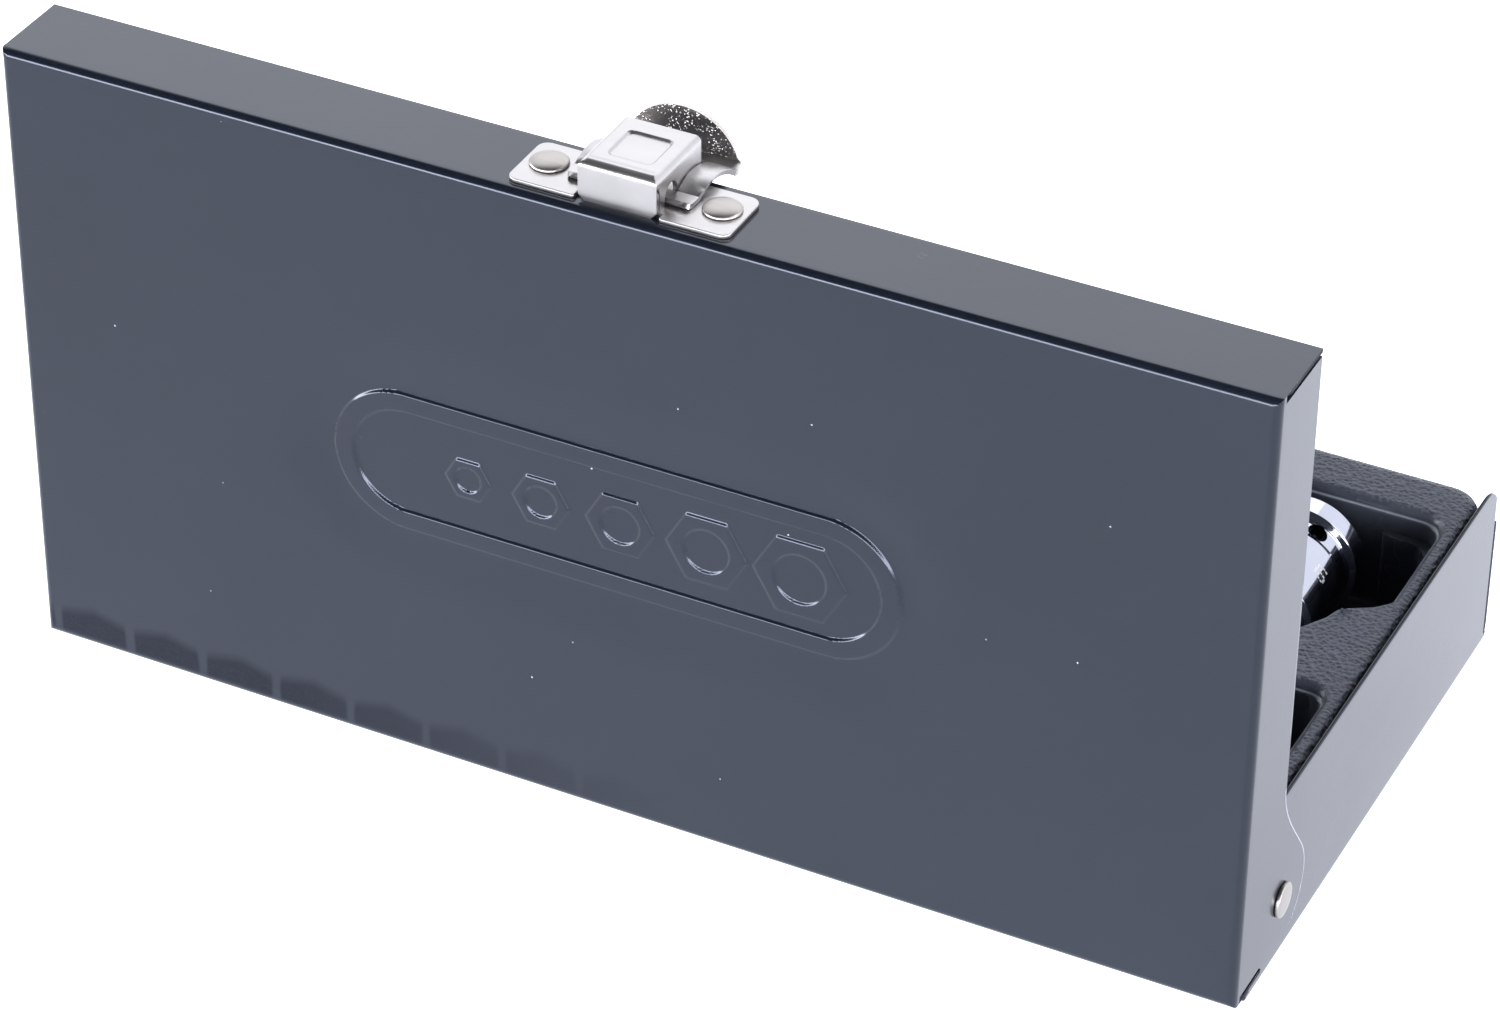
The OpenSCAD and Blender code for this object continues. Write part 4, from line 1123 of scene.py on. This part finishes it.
def build_socket(size, rd, rh, roll, L=28.0):
    node = "socket_%dmm" % size
    lo, hi = mm_box(node)
    cx, cz, y0 = (lo[0] + hi[0]) / 2, (lo[2] + hi[2]) / 2, lo[1]
    a = math.radians(roll)
    ca, sa = math.cos(a), math.sin(a)

    def place(x, y, h):
        # local x, y across the axis, h along it from the drive end; local y points up before the roll
        return (cx + x * ca - y * sa, y0 + h, cz + x * sa + y * ca)

    low = min(rd, rh)
    prof = [(0, 0), (rd - 2.2, 0), (rd - 1.95, 0.12), (rd - 0.9, 0.75), (rd - 0.15, 1.5), (rd - 0.03, 1.72), (rd, 2.0), (rd, 6.0), (rd - 0.05, 6.2), (rd - 0.22, 6.38), (rd - 1.15, 6.75),
            (rd - 1.35, 6.98), (rd - 1.4, 7.3), (rd - 1.4, 10.7), (rd - 1.33, 11.0), (rd - 1.18, 11.2), (low - 0.2, 11.7), (low - 0.04, 11.9), (low, 12.2), (rh, 15.5), (rh, L - 1.1),
            (rh - 0.08, L - 0.85), (rh - 0.85, L - 0.08), (rh - 1.05, L), (0, L)]
    prof = [(max(0.0, r), h) for r, h in prof]
    v, f = lathe(prof, 112, place)
    body = orient(new_object("body_" + node, v, f, (CHROME,)))
    hd = 9 + size * 0.15
    hexr = size / 2 / math.cos(math.pi / 6)
    cut = []
    cut.append((regular(4, 4.8 * math.sqrt(2), math.pi / 4), -1.0, 11.5, None))
    cut.append((regular(6, hexr, 0.0), L - hd, L + 1.0, None))
    cut.append((regular(48, min(size * 0.42, 4.2)), 5.0, L - 5.0, None))
    parts = []
    for k, (outline, h0, h1, _) in enumerate(cut):
        parts.append(orient(prism(outline, h0, h1, place, (CHROME,), "cut%d" % k)))
    # countersinks at both mouths
    for r0, h0, r1, h1 in ((7.15, -0.2, 6.2, 0.9), (min(hexr - 0.3, rh - 2.2), L - 0.9, min(hexr + 0.5, rh - 1.3) + 0.1, L + 0.1)):
        vv, ff = lathe([(0, h0), (r0, h0), (r1, h1), (0, h1)], 96, place)
        parts.append(orient(new_object("sink", vv, ff, (CHROME,))))
    # detent hole through the wall under the groove
    ring0 = [place(2.1 * math.cos(t), 3.0, 9.0 + 2.1 * math.sin(t)) for t in [2 * math.pi * i / 40 for i in range(40)]]
    ring1 = [place(2.1 * math.cos(t), 15.0, 9.0 + 2.1 * math.sin(t)) for t in [2 * math.pi * i / 40 for i in range(40)]]
    n = 40
    parts.append(orient(new_object("detent", ring0 + ring1, [list(range(n))[::-1], list(range(n, 2 * n))] + [[i, (i + 1) % n, n + (i + 1) % n, n + i] for i in range(n)], (CHROME,))))
    for q in parts:
        m = body.modifiers.new("cut", "BOOLEAN")
        m.operation = "DIFFERENCE"
        m.solver = "EXACT"
        m.object = q
    bevel(body, 0.14, 2, 50)
    dg = bpy.context.evaluated_depsgraph_get()
    settle(body, 35)
    for q in parts:
        me = q.data
        bpy.data.objects.remove(q)
        bpy.data.meshes.remove(me)
    # size figures rolled into the wall, as bars of a seven-bar figure
    verts, faces = [], []
    text = str(size)
    k = 0.46
    x = -0.5 * (len(text) * 3.0 - 1.0) * k
    for ch in text:
        for g in FIGURES[int(ch)]:
            (ax, ay), (bx_, by_) = SEGMENTS[g]
            p, q = (x + ax * k, ay * k), (x + bx_ * k, by_ * k)
            dx, dy = q[0] - p[0], q[1] - p[1]
            l = math.hypot(dx, dy)
            nx, ny = -dy / l * 0.13, dx / l * 0.13
            ex, ey = dx / l * 0.10, dy / l * 0.10
            base = len(verts)
            for rr_ in (rh - 0.05, rh + 0.02):
                for sx, sy in ((p[0] + ex + nx, p[1] + ey + ny), (q[0] - ex + nx, q[1] - ey + ny), (q[0] - ex - nx, q[1] - ey - ny), (p[0] + ex - nx, p[1] + ey - ny)):
                    t = sx / rh * 2.0 + math.radians(22)
                    verts.append(place(-rr_ * math.sin(t), rr_ * math.cos(t), 19.0 - sy * 1.6))
            faces += [[base + i for i in c] for c in ((0, 1, 2, 3), (7, 6, 5, 4), (0, 4, 5, 1), (1, 5, 6, 2), (2, 6, 7, 3), (3, 7, 4, 0))]
        x += 3.0 * k
    marks = orient(new_object("figures_" + node, verts, faces, (MARK,)))
    for ob in (body, marks):
        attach(ob, node)
    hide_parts(node)


for row_ in SOCKETS:
    build_socket(*row_)


# ---------------------------------------------------------------- carried-over CAD nodes
by_slot = {
    "painted_steel": PAINT, "nickel": NICKEL, "chrome": CHROME, "tool_steel": TOOL,
    "tray_plastic": TRAY, "grip_rubber": GRIP,
}
groups = {
    SPRING_STEEL_AND_SHADE: ["latch_spring"],
    NICKEL: ["strike_plate", "strike_rivets",
             "cover_screws", "drive_ball", "extension_ball", "joint_ball", "joint_long_pin", "joint_cross", "joint_short_pins"],
    CHROME: ["ratchet_body", "ratchet_cover", "reversing_lever", "extension_bar", "joint_socket_fork", "joint_drive_fork"]
    ,
    TOOL: ["ratchet_gear", "ratchet_pawl"],
    GRIP: ["handle_grip"],
}
for mat, names in groups.items():
    for n in names:
        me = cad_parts[n].data
        me.materials.clear()
        me.materials.append(mat)

# ---------------------------------------------------------------- studio
floor_me = bpy.data.meshes.new("floor")
floor_me.from_pydata([(-6, -6, 0), (6, -6, 0), (6, 6, 0), (-6, 6, 0)], [], [(0, 1, 2, 3)])
floor = bpy.data.objects.new("floor", floor_me)
SCENE.collection.objects.link(floor)
floor.location = (0, 0, -0.0002)
fm = bpy.data.materials.new("floor_white")
fm.use_nodes = True
fb = fm.node_tree.nodes["Principled BSDF"]
fb.inputs["Base Color"].default_value = (0.2, 0.2, 0.205, 1)
fb.inputs["Roughness"].default_value = 0.95
fb.inputs["Specular IOR Level"].default_value = 0.05
fb.inputs["Emission Color"].default_value = (0.955, 0.985, 1.08, 1)
# the sheet is lit more strongly behind and beside the case than in front of it
ft = fm.node_tree
fco = ft.nodes.new("ShaderNodeTexCoord")
fsep = ft.nodes.new("ShaderNodeSeparateXYZ")
ft.links.new(fco.outputs["Object"], fsep.inputs[0])
fmap = ft.nodes.new("ShaderNodeMapRange")
fmap.interpolation_type = "SMOOTHSTEP"
for i, v in zip((1, 2, 3, 4), (-0.25, 0.14, 2.2, 1.42)):
    fmap.inputs[i].default_value = v
ft.links.new(fsep.outputs[1], fmap.inputs[0])
fside = ft.nodes.new("ShaderNodeMapRange")
fside.interpolation_type = "SMOOTHSTEP"
for i, v in zip((1, 2, 3, 4), (-0.135, -0.10, 0.885, 1.0)):
    fside.inputs[i].default_value = v
ft.links.new(fsep.outputs[0], fside.inputs[0])
fmul = ft.nodes.new("ShaderNodeMath")
fmul.operation = "MULTIPLY"
ft.links.new(fmap.outputs[0], fmul.inputs[0])
ft.links.new(fside.outputs[0], fmul.inputs[1])
ft.links.new(fmul.outputs[0], fb.inputs["Emission Strength"])
floor_me.materials.append(fm)

world = bpy.data.worlds.new("studio")
SCENE.world = world
world.use_nodes = True
wt = world.node_tree
bg = wt.nodes["Background"]
tc = wt.nodes.new("ShaderNodeTexCoord")
sepw = wt.nodes.new("ShaderNodeSeparateXYZ")
wt.links.new(tc.outputs["Generated"], sepw.inputs[0])


def wmath(op, a, b=None):
    n = wt.nodes.new("ShaderNodeMath")
    n.operation = op
    for i, v in enumerate((a, b)):
        if v is None:
            continue
        if isinstance(v, (int, float)):
            n.inputs[i].default_value = v
        else:
            wt.links.new(v, n.inputs[i])
    return n.outputs[0]


def wstep(v, lo, hi):
    n = wt.nodes.new("ShaderNodeMapRange")
    n.interpolation_type = "SMOOTHSTEP"
    n.inputs[1].default_value, n.inputs[2].default_value = lo, hi
    wt.links.new(v, n.inputs[0])
    return n.outputs[0]


# a white sweep behind the object, a dark ceiling and a dark room on the hinge side, a low light strip in that room
X, Y, Z = sepw.outputs[0], sepw.outputs[1], sepw.outputs[2]
back = wstep(wmath("MULTIPLY", Y, -1.0), -0.15, 0.2)
low = wstep(wmath("MULTIPLY", Z, -1.0), -0.90, -0.70)
white = wmath("MULTIPLY", wmath("MULTIPLY", back, low), 1.62)
lowstrip = wmath("MULTIPLY", wstep(wmath("MULTIPLY", Z, -1.0), -0.30, -0.22), wmath("SUBTRACT", 1.0, back))
strip = wmath("MULTIPLY", lowstrip, wmath("MULTIPLY", wstep(Z, -0.02, 0.03), 15.0))
ground = wmath("MULTIPLY", wstep(wmath("MULTIPLY", Z, -1.0), 0.0, 0.02), 1.4)
level = wmath("MAXIMUM", wmath("MAXIMUM", white, strip), wmath("MAXIMUM", ground, 0.05))
bg.inputs["Color"].default_value = (0.955, 0.985, 1.07, 1)
wt.links.new(level, bg.inputs["Strength"])


def area(name, loc, at, size, power, colour=(1, 1, 1)):
    d = bpy.data.lights.new(name, "AREA")
    d.shape = "RECTANGLE"
    d.size, d.size_y = size
    d.energy = power
    d.color = colour
    o = bpy.data.objects.new(name, d)
    SCENE.collection.objects.link(o)
    o.location = loc
    o.rotation_euler = (Vector(at) - Vector(loc)).to_track_quat("-Z", "Y").to_euler()
    return o


area("softbox_back", (0.35, -1.0, 1.0), (0, 0, 0.06), (1.1, 0.8), 2.5, (0.97, 0.98, 1.0))
area("softbox_side", (-1.15, -0.25, 0.8), (-0.1, 0, 0.06), (0.9, 0.9), 6, (0.96, 0.97, 1.0))

# ---------------------------------------------------------------- camera
cam_data = bpy.data.cameras.new("camera")
cam = bpy.data.objects.new("camera", cam_data)
SCENE.collection.objects.link(cam)
right = Vector((-0.89388069, -0.44823757, 0.00777072))
down = Vector((-0.2639201, 0.51214294, -0.8173468))
fwd = Vector((0.36238582, -0.73266137, -0.57609359))
rot = Matrix((right, -down, -fwd)).transposed()
cam.matrix_world = Matrix.Translation((-0.3700, 0.7670, 0.6316)) @ rot.to_4x4()
cam_data.sensor_width = 36
cam_data.lens = 128.408
cam_data.clip_start, cam_data.clip_end = 0.05, 30
SCENE.camera = cam

SCENE.view_settings.view_transform = "Standard"
SCENE.view_settings.look = "None"
